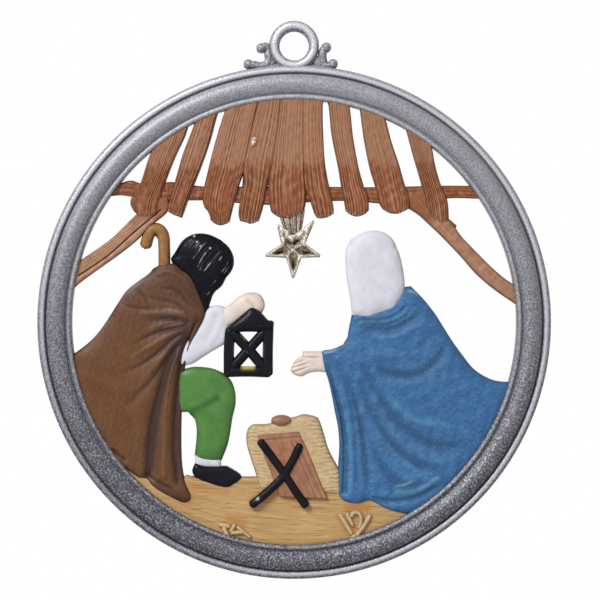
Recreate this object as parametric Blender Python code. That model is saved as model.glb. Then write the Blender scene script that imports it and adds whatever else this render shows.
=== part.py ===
"""Nativity ornament: a round hanging ornament, cast in pewter as one flat-backed piece and painted by hand.

A moulded ring with a hanging eye and two scrolls frames an open stable. Inside it stand a plank roof
with a tie beam and two braces, a star, a kneeling man with a crook and a lantern, a kneeling woman,
a manger on crossed legs and the ground. Everything is one casting with open gaps between the figures.

Run it with: blender --background --python part.py

Lengths are in millimetres until MM turns them into metres. A point (x, z) is measured from the ring's
centre, x to the right and z up. A height is measured from the flat back towards the viewer, who looks
along +Y. The origin is the centre of the hanging eye, halfway through its thickness.
"""

import math

import bmesh
import bpy
from mathutils import Vector
from mathutils.geometry import interpolate_bezier

MM = 0.001

# The ring, from its outer edge inwards: a bead, a groove, a broad moulded band, a groove and a thin lip
RING_RADIUS = 35.0
BEAD_WIDTH = 1.3
BEAD_HEIGHT = 2.1
GROOVE_WIDTH = 0.2
GROOVE_HEIGHT = 1.45
BAND_WIDTH = 2.3
BAND_EDGE_HEIGHT = 2.3
BAND_HEIGHT = 2.85
LIP_WIDTH = 0.66
LIP_HEIGHT = 2.3
RING_STEPS = 68

# The hanging eye stands on the ring, and the ring's bead runs into it
EYE_HOLE_RADIUS = 2.0
EYE_WIDTH = 1.4
EYE_HEIGHT = 2.0
EYE_OVERLAP = 0.7
EYE_STEPS = 28

# The scrolls beside the eye
SCROLL_WIDTH = 0.95
SCROLL_FOOT_WIDTH = 1.2
SCROLL_HEIGHT = 1.5
SCROLL_BALL = 1.35
SCROLL_BALL_HEIGHT = 1.8

# Crest heights of the picture's parts above the flat back
BEAM_HEIGHT = 1.6
PLANK_HEIGHT = 2.0
PLANK_ROUNDING = 0.42
BRACE_HEIGHT = 1.75
STAR_HEIGHT = 2.1
STAR_EDGE_HEIGHT = 1.45
STAR_FLOOR_HEIGHT = 1.3
TAIL_HEIGHT = 1.6
CROOK_HEIGHT = 1.8
HAIR_HEIGHT = 2.6
MAN_CLOAK_HEIGHT = 2.35
SLEEVE_HEIGHT = 1.75
MAN_HAND_HEIGHT = 1.9
LANTERN_HEIGHT = 2.1
LANTERN_ROOF_HEIGHT = 2.45
TROUSERS_HEIGHT = 1.95
SOCK_HEIGHT = 1.55
SHOE_HEIGHT = 1.95
GROUND_HEIGHT = 1.5
HAY_HEIGHT = 1.85
PANEL_HEIGHT = 2.05
CHILD_HEIGHT = 2.35
LEG_HEIGHT = 2.6
VEIL_HEIGHT = 2.65
WOMAN_CLOAK_HEIGHT = 2.35
CLOAK_EDGE = 1.45
CLOAK_SHOULDER = 2.5
WOMAN_HAND_HEIGHT = 1.75
STRAW_HEIGHT = 2.0

# Widths of what is drawn as a bar
PEG_WIDTH = 0.6
CROOK_WIDTH = 1.6
LANTERN_BAR = 1.3
LANTERN_CROSS_BAR = 1.1
LEG_WIDTH = 1.15
STRAW_WIDTH = 0.55
STAR_BAR_WIDTH = 0.5

# Everything is built this much too deep, and one cut makes the back flat
SPARE_DEPTH = 0.6

# What meets the ring ends inside its lip, this share of the lip's width in
TUCK = 0.55
GRAIN_DEPTH = 0.14
CURVE_STEPS = 8

RING_WIDTH = BEAD_WIDTH + BAND_WIDTH + LIP_WIDTH + 2 * GROOVE_WIDTH
RING_INNER_RADIUS = RING_RADIUS - RING_WIDTH
TUCK_RADIUS = RING_INNER_RADIUS + TUCK * LIP_WIDTH
EYE_RADIUS = EYE_HOLE_RADIUS + EYE_WIDTH
EYE_RISE = RING_RADIUS + EYE_RADIUS - EYE_OVERLAP
BACK = EYE_HEIGHT / 2

# The picture's points are drawn for a ring that is open 60.68 mm across, and follow the ring's opening
DRAWN_OPENING = 60.68
DRAWING_SCALE = 2 * RING_INNER_RADIUS / DRAWN_OPENING

# Paints and metal: colour, roughness and metallic value
FINISHES = {
    "pewter": ((0.42, 0.42, 0.45), 0.38, 1.0),
    "antique_gold": ((0.62, 0.55, 0.40), 0.35, 1.0),
    "roof_brown": ((0.33, 0.13, 0.06), 0.5, 0.0),
    "crook_brown": ((0.36, 0.18, 0.07), 0.5, 0.0),
    "cloak_brown": ((0.14, 0.065, 0.03), 0.5, 0.0),
    "cloak_blue": ((0.06, 0.17, 0.36), 0.4, 0.2),
    "white": ((0.70, 0.70, 0.77), 0.6, 0.0),
    "black": ((0.008, 0.008, 0.012), 0.25, 0.0),
    "green": ((0.09, 0.24, 0.07), 0.45, 0.0),
    "skin": ((0.72, 0.56, 0.47), 0.55, 0.0),
    "straw": ((0.62, 0.43, 0.21), 0.55, 0.0),
    "panel_brown": ((0.34, 0.16, 0.10), 0.5, 0.0),
}


def clear_scene():
    for item in list(bpy.data.objects):
        bpy.data.objects.remove(item)


def finish(name):
    """The named paint or metal as a material, made once."""
    if name in bpy.data.materials:
        return bpy.data.materials[name]
    colour, roughness, metallic = FINISHES[name]
    made = bpy.data.materials.new(name)
    made.use_nodes = True
    shader = made.node_tree.nodes["Principled BSDF"]
    shader.inputs["Base Color"].default_value = (*colour, 1.0)
    shader.inputs["Roughness"].default_value = roughness
    shader.inputs["Metallic"].default_value = metallic
    made.diffuse_color = (*colour, 1.0)
    return made


def drawn(point):
    """A point of the picture, scaled with the ring's opening."""
    return Vector(point) * DRAWING_SCALE


def at_ring(degrees):
    """The point inside the ring's lip at that angle, 0 at the right and 90 at the top."""
    reach = TUCK_RADIUS / DRAWING_SCALE
    return (reach * math.cos(math.radians(degrees)), reach * math.sin(math.radians(degrees)))


def under_top(x):
    """The point inside the ring's lip, straight above that x."""
    reach = TUCK_RADIUS / DRAWING_SCALE
    return (x, math.sqrt(reach**2 - x**2))


def ring_arc(start, end, count):
    """Points inside the ring's lip, from one angle to another."""
    return [at_ring(start + (end - start) * i / (count - 1)) for i in range(count)]


def smooth_curve(points):
    """A fine smooth line through the points, whose bends don't swing past them."""
    if len(points) == 2:
        return list(points)
    padded = [points[0], *points, points[-1]]
    line = []
    for before, start, end, after in zip(padded, padded[1:], padded[2:], padded[3:]):
        reach = (end - start).length / 3
        leave = start + (end - before).normalized() * reach
        arrive = end - (after - start).normalized() * reach
        line += interpolate_bezier(start, leave, arrive, end, CURVE_STEPS)[:-1]
    return [point.to_2d() for point in line] + [points[-1]]


def sampled(line, shares):
    """The points at these shares of the line's length."""
    lengths = [0.0]
    for start, end in zip(line, line[1:]):
        lengths.append(lengths[-1] + (end - start).length)
    found = []
    for share in shares:
        target = share * lengths[-1]
        i = max(k for k in range(len(line) - 1) if lengths[k] <= target + 1e-9)
        step = lengths[i + 1] - lengths[i]
        found.append(line[i].lerp(line[i + 1], (target - lengths[i]) / step if step else 0.0))
    return found


def graded(count):
    """Shares from 0 to 1 that lie closer together at both ends, where a form turns over to its edge."""
    even = [i / count for i in range(count + 1)]
    return [0.35 * t + 0.65 * (1 - math.cos(math.pi * t)) / 2 for t in even]


def outline(left, right, top=(), bottom=()):
    """The four sides of a form: left and right run downwards, and top and bottom are points between them."""
    left, right = [drawn(p) for p in left], [drawn(p) for p in right]
    return {
        "left": left,
        "right": right,
        "top": [left[0], *map(drawn, top), right[0]],
        "bottom": [left[-1], *map(drawn, bottom), right[-1]],
    }


def bar(path, width):
    """The four sides of a bar of that width along a path, with round ends."""
    line = smooth_curve([drawn(p) for p in path])
    count = 2 * len(path)
    centres = sampled(line, [i / count for i in range(count + 1)])
    left, right = [], []
    for i, centre in enumerate(centres):
        along = (centres[min(i + 1, count)] - centres[max(i - 1, 0)]).normalized()
        across = Vector((along.y, -along.x)) * width / 2
        left.append(centre - across)
        right.append(centre + across)
    start = (centres[0] - centres[1]).normalized() * width / 2
    end = (centres[-1] - centres[-2]).normalized() * width / 2
    return {
        "left": left,
        "right": right,
        "top": [left[0], centres[0] + start, right[0]],
        "bottom": [left[-1], centres[-1] + end, right[-1]],
    }


def oval(centre, width, height):
    """The four sides of an oval."""
    middle = drawn(centre)

    def arc(start, end):
        angles = [math.radians(start + (end - start) * i / 4) for i in range(5)]
        return [middle + Vector((width / 2 * math.cos(a), height / 2 * math.sin(a))) for a in angles]

    return {"left": arc(135, 225), "right": arc(45, -45), "top": arc(135, 45), "bottom": arc(225, 315)}


def distance_to(point, line):
    """How far the point is from the line."""
    best = math.inf
    for start, end in zip(line, line[1:]):
        step = end - start
        length = step.length_squared
        share = max(0.0, min(1.0, (point - start).dot(step) / length)) if length else 0.0
        best = min(best, (point - start - share * step).length)
    return best


def crease(depth, width, *points):
    """A fold along a smooth line: depth is below the surface, and a negative one stands up as a ridge."""
    return depth, width, smooth_curve([drawn(p) for p in points])


def wood_grain(lines, depth=GRAIN_DEPTH):
    """Grooves that run the length of a board, side by side."""
    return lambda point, u, v: -depth * (1 - math.cos(2 * math.pi * lines * u)) / 2


def cross_grain(lines, depth=GRAIN_DEPTH):
    """Grooves that run across a form, from its left to its right."""
    return lambda point, u, v: -depth * (1 - math.cos(2 * math.pi * lines * v)) / 2


def rough_back():
    """How far back the form now being built reaches, a little further than the one before it."""
    return BACK + SPARE_DEPTH + 0.01 * len(bpy.data.meshes)


def add_form(name, paint, sides, cells, crest, edge, shoulder, creases=(), carving=None):
    """A form in relief: a surface stretched between four sides, rounded over at its edge, with a flat back.

    cells is how many cells lie across and down. crest is the height of its top and edge that of its rim,
    and the form turns over from one to the other within the shoulder. carving adds to the height.
    """
    across, down = graded(cells[0]), graded(cells[1])
    top, bottom = (sampled(smooth_curve(sides[s]), across) for s in ("top", "bottom"))
    left, right = (sampled(smooth_curve(sides[s]), down) for s in ("left", "right"))
    rim_line = top + right[1:] + bottom[::-1][1:] + left[::-1][1:]
    shape = bmesh.new()
    bmesh.ops.create_grid(shape, x_segments=cells[0], y_segments=cells[1], size=0.5)
    for vertex in shape.verts:
        i = round((vertex.co.x + 0.5) * cells[0])
        j = round((0.5 - vertex.co.y) * cells[1])
        u, v = across[i], down[j]
        point = (1 - v) * top[i] + v * bottom[i] + (1 - u) * left[j] + u * right[j]
        point -= (1 - u) * ((1 - v) * top[0] + v * bottom[0]) + u * ((1 - v) * top[-1] + v * bottom[-1])
        inset = 1 - min(distance_to(point, rim_line) / shoulder, 1.0)
        roundness = math.sqrt(max(0.0, 1 - inset**2))
        height = edge + (crest - edge) * roundness
        for depth, width, line in creases:
            height -= roundness * depth * math.exp(-((distance_to(point, line) / width) ** 2))
        if carving:
            height += roundness * carving(point, u, v)
        vertex.co = (point.x, BACK - height, point.y)
    rim = [item for item in shape.edges if item.is_boundary]
    walls = bmesh.ops.extrude_edge_only(shape, edges=rim)["geom"]
    for item in walls:
        if isinstance(item, bmesh.types.BMVert):
            item.co.y = rough_back()
    back_rim = [item for item in walls if isinstance(item, bmesh.types.BMEdge) and item.is_boundary]
    bmesh.ops.contextual_create(shape, geom=back_rim)
    return add_feature(name, shape, paint)


def add_bar(name, paint, path, width, crest, edge):
    """A round-topped bar along a path."""
    add_form(name, paint, bar(path, width), (4, 2 * len(path)), crest, edge, shoulder=width / 2)


def add_turned(name, profile, centre, steps):
    """A profile of (radius, height) points from its outer to its inner edge, turned about the axis."""
    shape = bmesh.new()
    corners = []
    for radius, height in profile:
        corners.append(shape.verts.new((centre[0] + radius, BACK - height, centre[1])))
    for radius in (profile[-1][0], profile[0][0]):
        corners.append(shape.verts.new((centre[0] + radius, rough_back(), centre[1])))
    loop = [shape.edges.new(pair) for pair in zip(corners, corners[1:] + corners[:1])]
    bmesh.ops.spin(
        shape,
        geom=corners + loop,
        cent=(centre[0], 0, centre[1]),
        axis=(0, 1, 0),
        angle=2 * math.pi,
        steps=steps,
        use_merge=True,
    )
    return add_feature(name, shape, "pewter")


def add_feature(name, shape, paint):
    """A mesh object made from the shape, hung from the ring's centre."""
    bmesh.ops.scale(shape, vec=(MM, MM, MM), verts=shape.verts)
    bmesh.ops.remove_doubles(shape, verts=shape.verts, dist=1e-6)
    bmesh.ops.recalc_face_normals(shape, faces=shape.faces)
    bmesh.ops.triangulate(shape, faces=shape.faces)
    mesh = bpy.data.meshes.new(name)
    shape.to_mesh(mesh)
    shape.free()
    mesh.materials.append(finish(paint))
    mesh.shade_smooth()
    mesh.set_sharp_from_angle(angle=math.radians(40))
    made = bpy.data.objects.new(name, mesh)
    made.parent = bpy.data.objects["ring_centre"]
    bpy.context.scene.collection.objects.link(made)
    return made


def arch(start, end, foot, crest, count):
    """Points of a rounded moulding between two radii, from its foot over its crest to its other foot."""
    angles = [math.pi * i / (count - 1) for i in range(count)]
    middle, reach = (start + end) / 2, (start - end) / 2
    return [(middle + reach * math.cos(a), foot + (crest - foot) * math.sin(a)) for a in angles]


def add_ring():
    """The moulded ring: a bead, a band and a lip with grooves between them."""
    bead_inner = RING_RADIUS - BEAD_WIDTH
    band_outer = bead_inner - GROOVE_WIDTH
    band_inner = band_outer - BAND_WIDTH
    lip_outer = band_inner - GROOVE_WIDTH
    profile = arch(RING_RADIUS, bead_inner, GROOVE_HEIGHT, BEAD_HEIGHT, 4)
    profile += [(band_outer, GROOVE_HEIGHT)]
    profile += arch(band_outer, band_inner, BAND_EDGE_HEIGHT, BAND_HEIGHT, 5)
    profile += [(band_inner, GROOVE_HEIGHT)]
    profile += arch(lip_outer, RING_INNER_RADIUS, GROOVE_HEIGHT, LIP_HEIGHT, 4)
    return add_turned("cast_ornament", profile, (0, 0), RING_STEPS)


def add_eye():
    """The hanging eye: a thick round loop, flat at the back."""
    profile = arch(EYE_RADIUS, EYE_HOLE_RADIUS, EYE_HEIGHT / 2, EYE_HEIGHT, 5)
    add_turned("eye", profile, (0, EYE_RISE), EYE_STEPS)


def beside_eye(x, rise):
    """A point of a scroll, which keeps its place beside the eye and above the ring's edge."""
    return (
        (x + math.copysign(EYE_RADIUS - 3.4, x)) / DRAWING_SCALE,
        (RING_RADIUS + rise) / DRAWING_SCALE,
    )


def add_ball(name, centre):
    """One of the balls that end the scrolls."""
    sides = oval(centre, SCROLL_BALL, SCROLL_BALL)
    add_form(name, "pewter", sides, (5, 5), SCROLL_BALL_HEIGHT, edge=0.9, shoulder=SCROLL_BALL / 2)


def add_scrolls():
    """An S-shaped scroll on each side of the eye, ending in balls."""
    left = [(-4.5, 2.4), (-3.8, 2.6), (-3.5, 1.6), (-3.5, 0.5), (-4.4, -0.05), (-5.4, 0.1), (-6.3, 0.15)]
    right = [(4.4, 2.5), (3.9, 1.9), (3.85, 0.8), (4.2, 0.0), (5.2, 0.1)]
    for name, path, end_ball in (("left", left, (-6.25, 0.2)), ("right", right, (5.3, 0.25))):
        stem = [beside_eye(*place) for place in path]
        add_bar(f"scroll_{name}", "pewter", stem, SCROLL_WIDTH, SCROLL_HEIGHT, edge=0.7)
        for number, place in enumerate((path[0], end_ball)):
            add_ball(f"scroll_{name}_ball_{number}", beside_eye(*place))
    foot = [beside_eye(x, rise) for x, rise in ((-4.4, -0.55), (-2.0, -0.3), (2.0, -0.3), (4.9, -0.55))]
    add_bar("scroll_foot", "pewter", foot, SCROLL_FOOT_WIDTH, SCROLL_HEIGHT, edge=0.7)


# The roof's planks from left to right: left edge, right edge, and the points along the lower end
PLANKS = (
    (
        [under_top(-19.1), (-19.95, 22.0), (-21.0, 18.8), (-22.2, 16.9), (-22.3, 16.0), (-21.8, 15.0)],
        [under_top(-14.3), (-14.9, 25.3), (-16.0, 23.0), (-17.2, 20.0), (-18.3, 16.8), (-18.8, 14.6)],
        [(-20.8, 14.3)],
    ),
    (
        [under_top(-13.4), (-13.9, 26.2), (-15.2, 22.8), (-16.2, 19.3), (-17.1, 16.3), (-17.4, 15.2)],
        [under_top(-10.2), (-10.6, 27.8), (-11.5, 24.5), (-12.8, 20.8), (-14.0, 17.8), (-15.3, 14.2)],
        [(-16.6, 14.7)],
    ),
    (
        [
            under_top(-9.2), (-9.7, 28.0), (-10.9, 24.0), (-11.9, 20.0), (-12.5, 17.0),
            (-12.2, 15.6), (-11.6, 14.9), (-11.4, 13.9),
        ],
        [
            under_top(-4.5), (-4.95, 29.5), (-5.9, 25.0), (-6.7, 21.0), (-7.5, 18.6), (-8.0, 16.9),
            (-8.8, 13.7),
        ],
        [(-10.8, 13.4), (-10.0, 13.2), (-9.3, 13.4)],
    ),
    (
        [
            under_top(-4.9), (-5.1, 29.2), (-6.2, 24.8), (-7.0, 21.0), (-6.85, 19.0), (-7.2, 17.5),
            (-7.6, 14.8), (-7.4, 13.8),
        ],
        [
            under_top(-1.7), (-1.8, 29.5), (-2.25, 25.0), (-2.9, 21.5), (-3.65, 18.4), (-4.3, 15.4),
            (-4.8, 13.8),
        ],
        [(-6.6, 13.6), (-6.0, 13.4), (-5.3, 13.6)],
    ),
    (
        [
            under_top(-2.0), (-2.2, 28.0), (-3.0, 22.0), (-3.4, 19.5), (-3.35, 17.5), (-3.2, 15.2),
            (-2.9, 14.8),
        ],
        [under_top(1.4), (1.45, 28.0), (1.55, 20.0), (1.65, 17.5), (1.55, 15.9), (1.2, 15.0)],
        [(-2.0, 14.3), (-0.5, 14.2), (0.6, 14.7)],
    ),
    (
        [under_top(1.1), (1.15, 27.0), (1.2, 22.0), (1.35, 18.6), (2.0, 17.0), (2.4, 15.8), (2.7, 14.9)],
        [under_top(4.0), (3.9, 29.0), (4.0, 25.0), (4.3, 21.0), (4.9, 18.0), (5.4, 15.5), (5.4, 14.8)],
        [(3.2, 14.2), (4.5, 14.3)],
    ),
    (
        [under_top(4.6), (4.8, 28.5), (5.1, 25.5), (6.0, 21.0), (6.4, 18.5), (6.8, 16.5), (7.0, 15.2)],
        [
            under_top(7.5), (7.7, 28.5), (8.0, 25.5), (8.7, 21.5), (9.3, 19.0), (10.1, 17.0),
            (10.2, 15.2),
        ],
        [(7.6, 14.7), (8.6, 14.4), (9.6, 14.7)],
    ),
    (
        [
            under_top(8.9), (9.1, 28.0), (9.5, 25.0), (10.3, 21.0), (11.1, 18.3), (11.6, 16.2),
            (12.1, 15.4),
        ],
        [
            under_top(12.3), (12.6, 27.2), (13.3, 24.5), (14.3, 21.5), (15.0, 19.0), (15.7, 16.8),
            (15.6, 15.4),
        ],
        [(13.0, 14.9), (14.2, 14.8)],
    ),
    (
        [under_top(15.1), (15.4, 25.8), (16.2, 22.8), (17.3, 19.0), (17.9, 16.5), (18.3, 14.6)],
        [under_top(18.6), (18.9, 23.2), (19.2, 21.5), (19.9, 19.0), (20.9, 16.5), (21.1, 14.1)],
        [(19.5, 13.6), (20.5, 13.7)],
    ),
)


def add_roof():
    """The planks, the tie beam that carries them and a brace at each end."""
    for number, (left, right, end) in enumerate(PLANKS):
        add_form(
            f"plank_{number}",
            "roof_brown",
            outline(left, right, bottom=end),
            (6, 4),
            PLANK_HEIGHT,
            edge=PLANK_HEIGHT - PLANK_ROUNDING,
            shoulder=PLANK_ROUNDING,
            carving=wood_grain(3),
        )
    beam = outline(
        left=[at_ring(142.6), at_ring(146.2)],
        right=[at_ring(37.2), at_ring(33.2)],
        top=[
            (-22.3, 19.3), (-20.8, 18.9), (-16.4, 18.9), (-12.0, 18.5), (0.0, 18.5), (10.5, 18.4),
            (20.5, 18.6),
        ],
        bottom=[
            (-23.6, 17.3), (-19.0, 16.6), (-12.0, 16.6), (-3.5, 16.0), (6.2, 16.6), (14.0, 16.1),
            (21.3, 16.9),
        ],
    )
    add_form("tie_beam", "roof_brown", beam, (13, 3), BEAM_HEIGHT, edge=1.2, shoulder=0.5)
    left_brace = outline(
        left=[at_ring(164.8), at_ring(172.1)],
        right=[(-17.2, 17.1), (-17.0, 15.8)],
        top=[(-28.4, 8.9), (-25.0, 11.3), (-22.3, 13.9), (-20.5, 15.6), (-18.6, 16.9)],
        bottom=[(-29.3, 5.3), (-27.0, 7.0), (-23.5, 9.5), (-21.3, 11.3), (-19.6, 13.1), (-17.5, 14.8)],
    )
    split = crease(0.35, 0.3, (-29.5, 6.2), (-25.4, 9.0), (-21.8, 12.2), (-18.0, 15.4))
    add_form("left_brace", "roof_brown", left_brace, (12, 6), BRACE_HEIGHT, 1.3, 0.6, creases=[split])
    right_brace = outline(
        left=[(18.6, 17.4), (15.5, 17.6), (15.6, 15.5)],
        right=[at_ring(9.2), at_ring(4.0)],
        top=[(20.4, 15.3), (21.0, 14.2), (21.9, 13.0), (22.8, 11.7), (25.0, 9.4), (27.0, 7.4), (28.9, 5.8)],
        bottom=[(17.0, 14.6), (18.1, 13.6), (20.0, 11.8), (22.5, 9.2), (25.0, 6.4), (27.5, 4.3)],
    )
    add_form("right_brace", "roof_brown", right_brace, (11, 4), BRACE_HEIGHT, 1.3, 0.9)
    add_bar("brace_peg", "roof_brown", [(21.0, 13.8), (21.9, 13.0)], PEG_WIDTH, BEAM_HEIGHT, edge=1.2)


def add_star():
    """A star edged with raised bars, on a ribbed tail that hangs from the roof's middle plank."""
    tips = [(-3.9, 9.05), (-0.15, 6.0), (3.55, 9.0), (2.65, 13.75), (-2.25, 13.3)]
    notches = [(-1.1, 8.75), (1.0, 8.75), (1.55, 10.7), (-0.15, 11.7), (-1.75, 10.6)]
    shape = bmesh.new()
    rim = []
    for pair in zip(tips, notches):
        for corner in map(drawn, pair):
            rim.append(shape.verts.new((corner.x, BACK - STAR_EDGE_HEIGHT, corner.y)))
    face = shape.faces.new(rim)
    for height in (STAR_HEIGHT, STAR_FLOOR_HEIGHT):
        bmesh.ops.inset_region(
            shape, faces=[face], use_boundary=True, use_even_offset=True, thickness=STAR_BAR_WIDTH / 2
        )
        for vertex in face.verts:
            vertex.co.y = BACK - height
    edges = [item for item in shape.edges if item.is_boundary]
    walls = bmesh.ops.extrude_edge_only(shape, edges=edges)["geom"]
    for item in walls:
        if isinstance(item, bmesh.types.BMVert):
            item.co.y = rough_back()
    bmesh.ops.contextual_create(
        shape, geom=[item for item in walls if isinstance(item, bmesh.types.BMEdge) and item.is_boundary]
    )
    add_feature("star", shape, "antique_gold")
    tail = outline([(-2.1, 15.4), (-1.9, 14.0), (-1.1, 12.0)], [(1.5, 15.4), (1.3, 14.0), (0.9, 11.8)])
    ribs = wood_grain(4, depth=0.25)
    add_form("star_tail", "antique_gold", tail, (8, 3), TAIL_HEIGHT, edge=1.15, shoulder=0.4, carving=ribs)


def hair_strands(point, u, v):
    """Combed strands that run round the head in arcs about a point beyond the nape."""
    nape = drawn((-7.5, 4.6))
    return 0.09 * math.cos(2 * math.pi * (point - nape).length / 1.35)


def add_man():
    """The kneeling man, seen from behind: crook, hair, sleeve, hand, lantern, leg, shoe and cloak."""
    crook = [(-17.75, 6.6), (-17.75, 10.0), (-17.95, 12.0), (-18.8, 12.75), (-19.7, 12.2), (-20.25, 10.6)]
    add_bar("crook", "crook_brown", crook, CROOK_WIDTH, CROOK_HEIGHT, edge=1.0)
    hair = outline(
        left=[
            (-16.3, 9.4), (-16.8, 8.5), (-15.9, 7.3), (-14.5, 6.1), (-13.5, 4.4), (-12.9, 2.6),
            (-12.5, 1.0),
        ],
        right=[
            (-10.0, 11.2), (-8.9, 10.2), (-8.3, 9.0), (-8.25, 7.8), (-8.6, 6.9), (-9.3, 6.0),
            (-9.9, 4.9),
            (-10.9, 4.0), (-11.4, 2.8), (-11.8, 1.5),
        ],
        top=[(-15.3, 11.0), (-14.2, 11.8), (-12.9, 12.1), (-11.5, 11.9)],
    )
    add_form("hair", "black", hair, (10, 12), HAIR_HEIGHT, edge=1.3, shoulder=2.6, carving=hair_strands)
    sleeve = outline(
        left=[(-11.7, 2.1), (-12.8, 0.0), (-14.2, -2.3), (-15.2, -4.5), (-15.4, -6.0)],
        right=[(-9.5, 2.1), (-8.9, 0.7), (-8.9, -1.0), (-9.0, -2.75)],
        top=[(-10.4, 2.3)],
        bottom=[(-14.0, -5.75), (-12.6, -4.9), (-11.0, -3.9)],
    )
    add_form("sleeve", "white", sleeve, (6, 7), SLEEVE_HEIGHT, edge=1.1, shoulder=1.1)
    hand = outline(
        left=[(-9.9, 1.7), (-9.9, 0.5), (-9.6, -0.7)],
        right=[(-5.3, 4.05), (-4.6, 3.7), (-4.15, 3.0), (-4.0, 2.1), (-4.4, 1.2)],
        top=[(-8.6, 2.55), (-7.6, 3.4), (-6.5, 3.95)],
        bottom=[(-8.4, -0.4), (-6.5, 0.8)],
    )
    add_form("man_hand", "skin", hand, (8, 5), MAN_HAND_HEIGHT, edge=1.1, shoulder=1.2)
    leg = outline(
        left=[
            (-15.7, -6.6), (-15.9, -9.0), (-15.7, -12.1), (-14.3, -12.35), (-13.6, -13.2),
            (-13.3, -15.0), (-13.6, -18.3),
        ],
        right=[
            (-9.4, -7.1), (-8.5, -8.2), (-8.05, -9.6), (-8.0, -11.2), (-8.4, -13.0), (-9.0, -16.5),
            (-9.9, -18.9),
        ],
        top=[(-13.9, -6.15), (-12.5, -6.15), (-11.0, -6.4)],
        bottom=[(-12.9, -18.7), (-11.8, -18.95), (-10.6, -19.0)],
    )
    knee = crease(0.3, 0.5, (-14.4, -12.4), (-12.5, -11.5), (-11.0, -10.6), (-9.9, -10.0))
    add_form("trousers", "green", leg, (8, 10), TROUSERS_HEIGHT, edge=1.1, shoulder=1.6, creases=[knee])
    sock = outline([(-13.5, -18.0), (-13.55, -19.8)], [(-10.1, -18.6), (-9.9, -19.9)])
    add_form("sock", "white", sock, (4, 2), SOCK_HEIGHT, edge=1.1, shoulder=0.5)
    shoe = outline(
        left=[(-13.5, -19.15), (-13.9, -20.2), (-13.7, -20.9), (-13.2, -21.4)],
        right=[(-9.2, -19.65), (-8.2, -20.2), (-7.2, -21.0), (-7.5, -21.6), (-8.2, -22.2)],
        top=[(-12.9, -19.4), (-12.0, -19.65), (-10.5, -19.65)],
        bottom=[(-11.5, -22.0), (-10.3, -22.4), (-9.2, -22.55)],
    )
    add_form("shoe", "black", shoe, (8, 5), SHOE_HEIGHT, edge=1.3, shoulder=0.9)
    add_lantern()
    add_man_cloak()


def add_lantern():
    """A lantern of two posts, two rails and a cross, open between them, under a pitched roof."""
    bars = {
        "left_post": [(-8.75, -1.2), (-8.9, -4.0), (-8.9, -6.9)],
        "right_post": [(-3.5, -0.6), (-3.6, -4.0), (-3.6, -6.9)],
        "sill": [(-8.9, -6.8), (-6.2, -6.75), (-3.6, -6.85)],
    }
    for name, path in bars.items():
        add_bar(f"lantern_{name}", "black", path, LANTERN_BAR, LANTERN_HEIGHT, edge=1.5)
    crosses = [[(-8.3, -1.5), (-6.2, -3.75), (-4.1, -6.3)], [(-4.1, -1.4), (-6.2, -3.75), (-8.4, -6.2)]]
    for number, path in enumerate(crosses):
        add_bar(f"lantern_cross_{number}", "black", path, LANTERN_CROSS_BAR, LANTERN_HEIGHT, edge=1.3)
    roof = outline(
        left=[(-5.85, 2.3), (-6.8, 1.3), (-8.0, 0.2), (-8.9, -0.7), (-9.3, -1.5)],
        right=[(-5.6, 2.25), (-4.3, 1.1), (-3.5, 0.25), (-3.0, 0.2), (-2.75, -0.1), (-2.9, -1.4)],
        bottom=[(-7.0, -1.35), (-5.0, -1.35)],
    )
    add_form("lantern_roof", "black", roof, (8, 7), LANTERN_ROOF_HEIGHT, edge=1.5, shoulder=1.3)


def add_man_cloak():
    """The man's cloak, gathered at the arm that holds it: its folds fan out from there to the hem."""
    cloak = outline(
        left=[
            (-19.2, 7.3), (-19.8, 6.6), (-21.2, 5.6), (-22.8, 4.3), (-24.0, 2.6), (-25.0, 1.0),
            (-26.5, -1.2), (-28.0, -2.8), at_ring(188.6),
        ],
        right=[
            (-15.2, 7.5), (-14.1, 6.5), (-13.4, 5.3), (-12.9, 4.0), (-12.4, 2.8), (-12.2, 1.4),
            (-12.4, 0.2),
            (-13.8, -2.6), (-14.9, -6.2), (-15.2, -8.5), (-15.4, -17.0), (-15.0, -21.3),
            (-13.7, -24.2),
        ],
        top=[(-18.0, 7.9), (-17.0, 8.0), (-16.0, 7.9)],
        bottom=[
            *ring_arc(194, 217, 5),
            (-21.3, -21.1), (-20.1, -21.4), (-19.3, -22.3), (-18.0, -23.2), (-16.5, -24.0),
            (-15.0, -24.6),
        ],
    )
    folds = [
        crease(
            0.75, 0.9, (-14.2, -1.6), (-16.0, -3.6), (-17.4, -6.5), (-18.4, -10.0), (-19.3, -14.0),
            (-19.8, -21.0)
        ),
        crease(0.45, 0.7, (-14.5, -2.4), (-16.0, -7.0), (-16.4, -12.0), (-16.4, -18.0), (-15.7, -22.5)),
        crease(-0.3, 0.8, (-14.4, -1.9), (-16.9, -7.5), (-17.6, -14.0), (-17.7, -21.5)),
        crease(0.3, 0.8, (-14.2, 0.3), (-17.0, 0.9), (-20.0, 0.6), (-22.5, -0.5)),
        crease(0.35, 0.8, (-14.2, -0.3), (-18.0, -0.6), (-21.0, -2.0), (-24.0, -4.5)),
        crease(0.4, 0.8, (-14.3, -1.0), (-17.5, -2.4), (-20.5, -5.0), (-23.5, -7.6)),
        crease(0.4, 0.9, (-14.6, -1.6), (-17.3, -4.8), (-19.8, -8.3), (-22.5, -11.0)),
        crease(0.2, 0.6, (-25.0, -17.2), (-22.9, -19.0)),
    ]
    add_form(
        "man_cloak", "cloak_brown", cloak, (15, 15), MAN_CLOAK_HEIGHT, CLOAK_EDGE, CLOAK_SHOULDER,
        creases=folds,
    )


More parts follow.
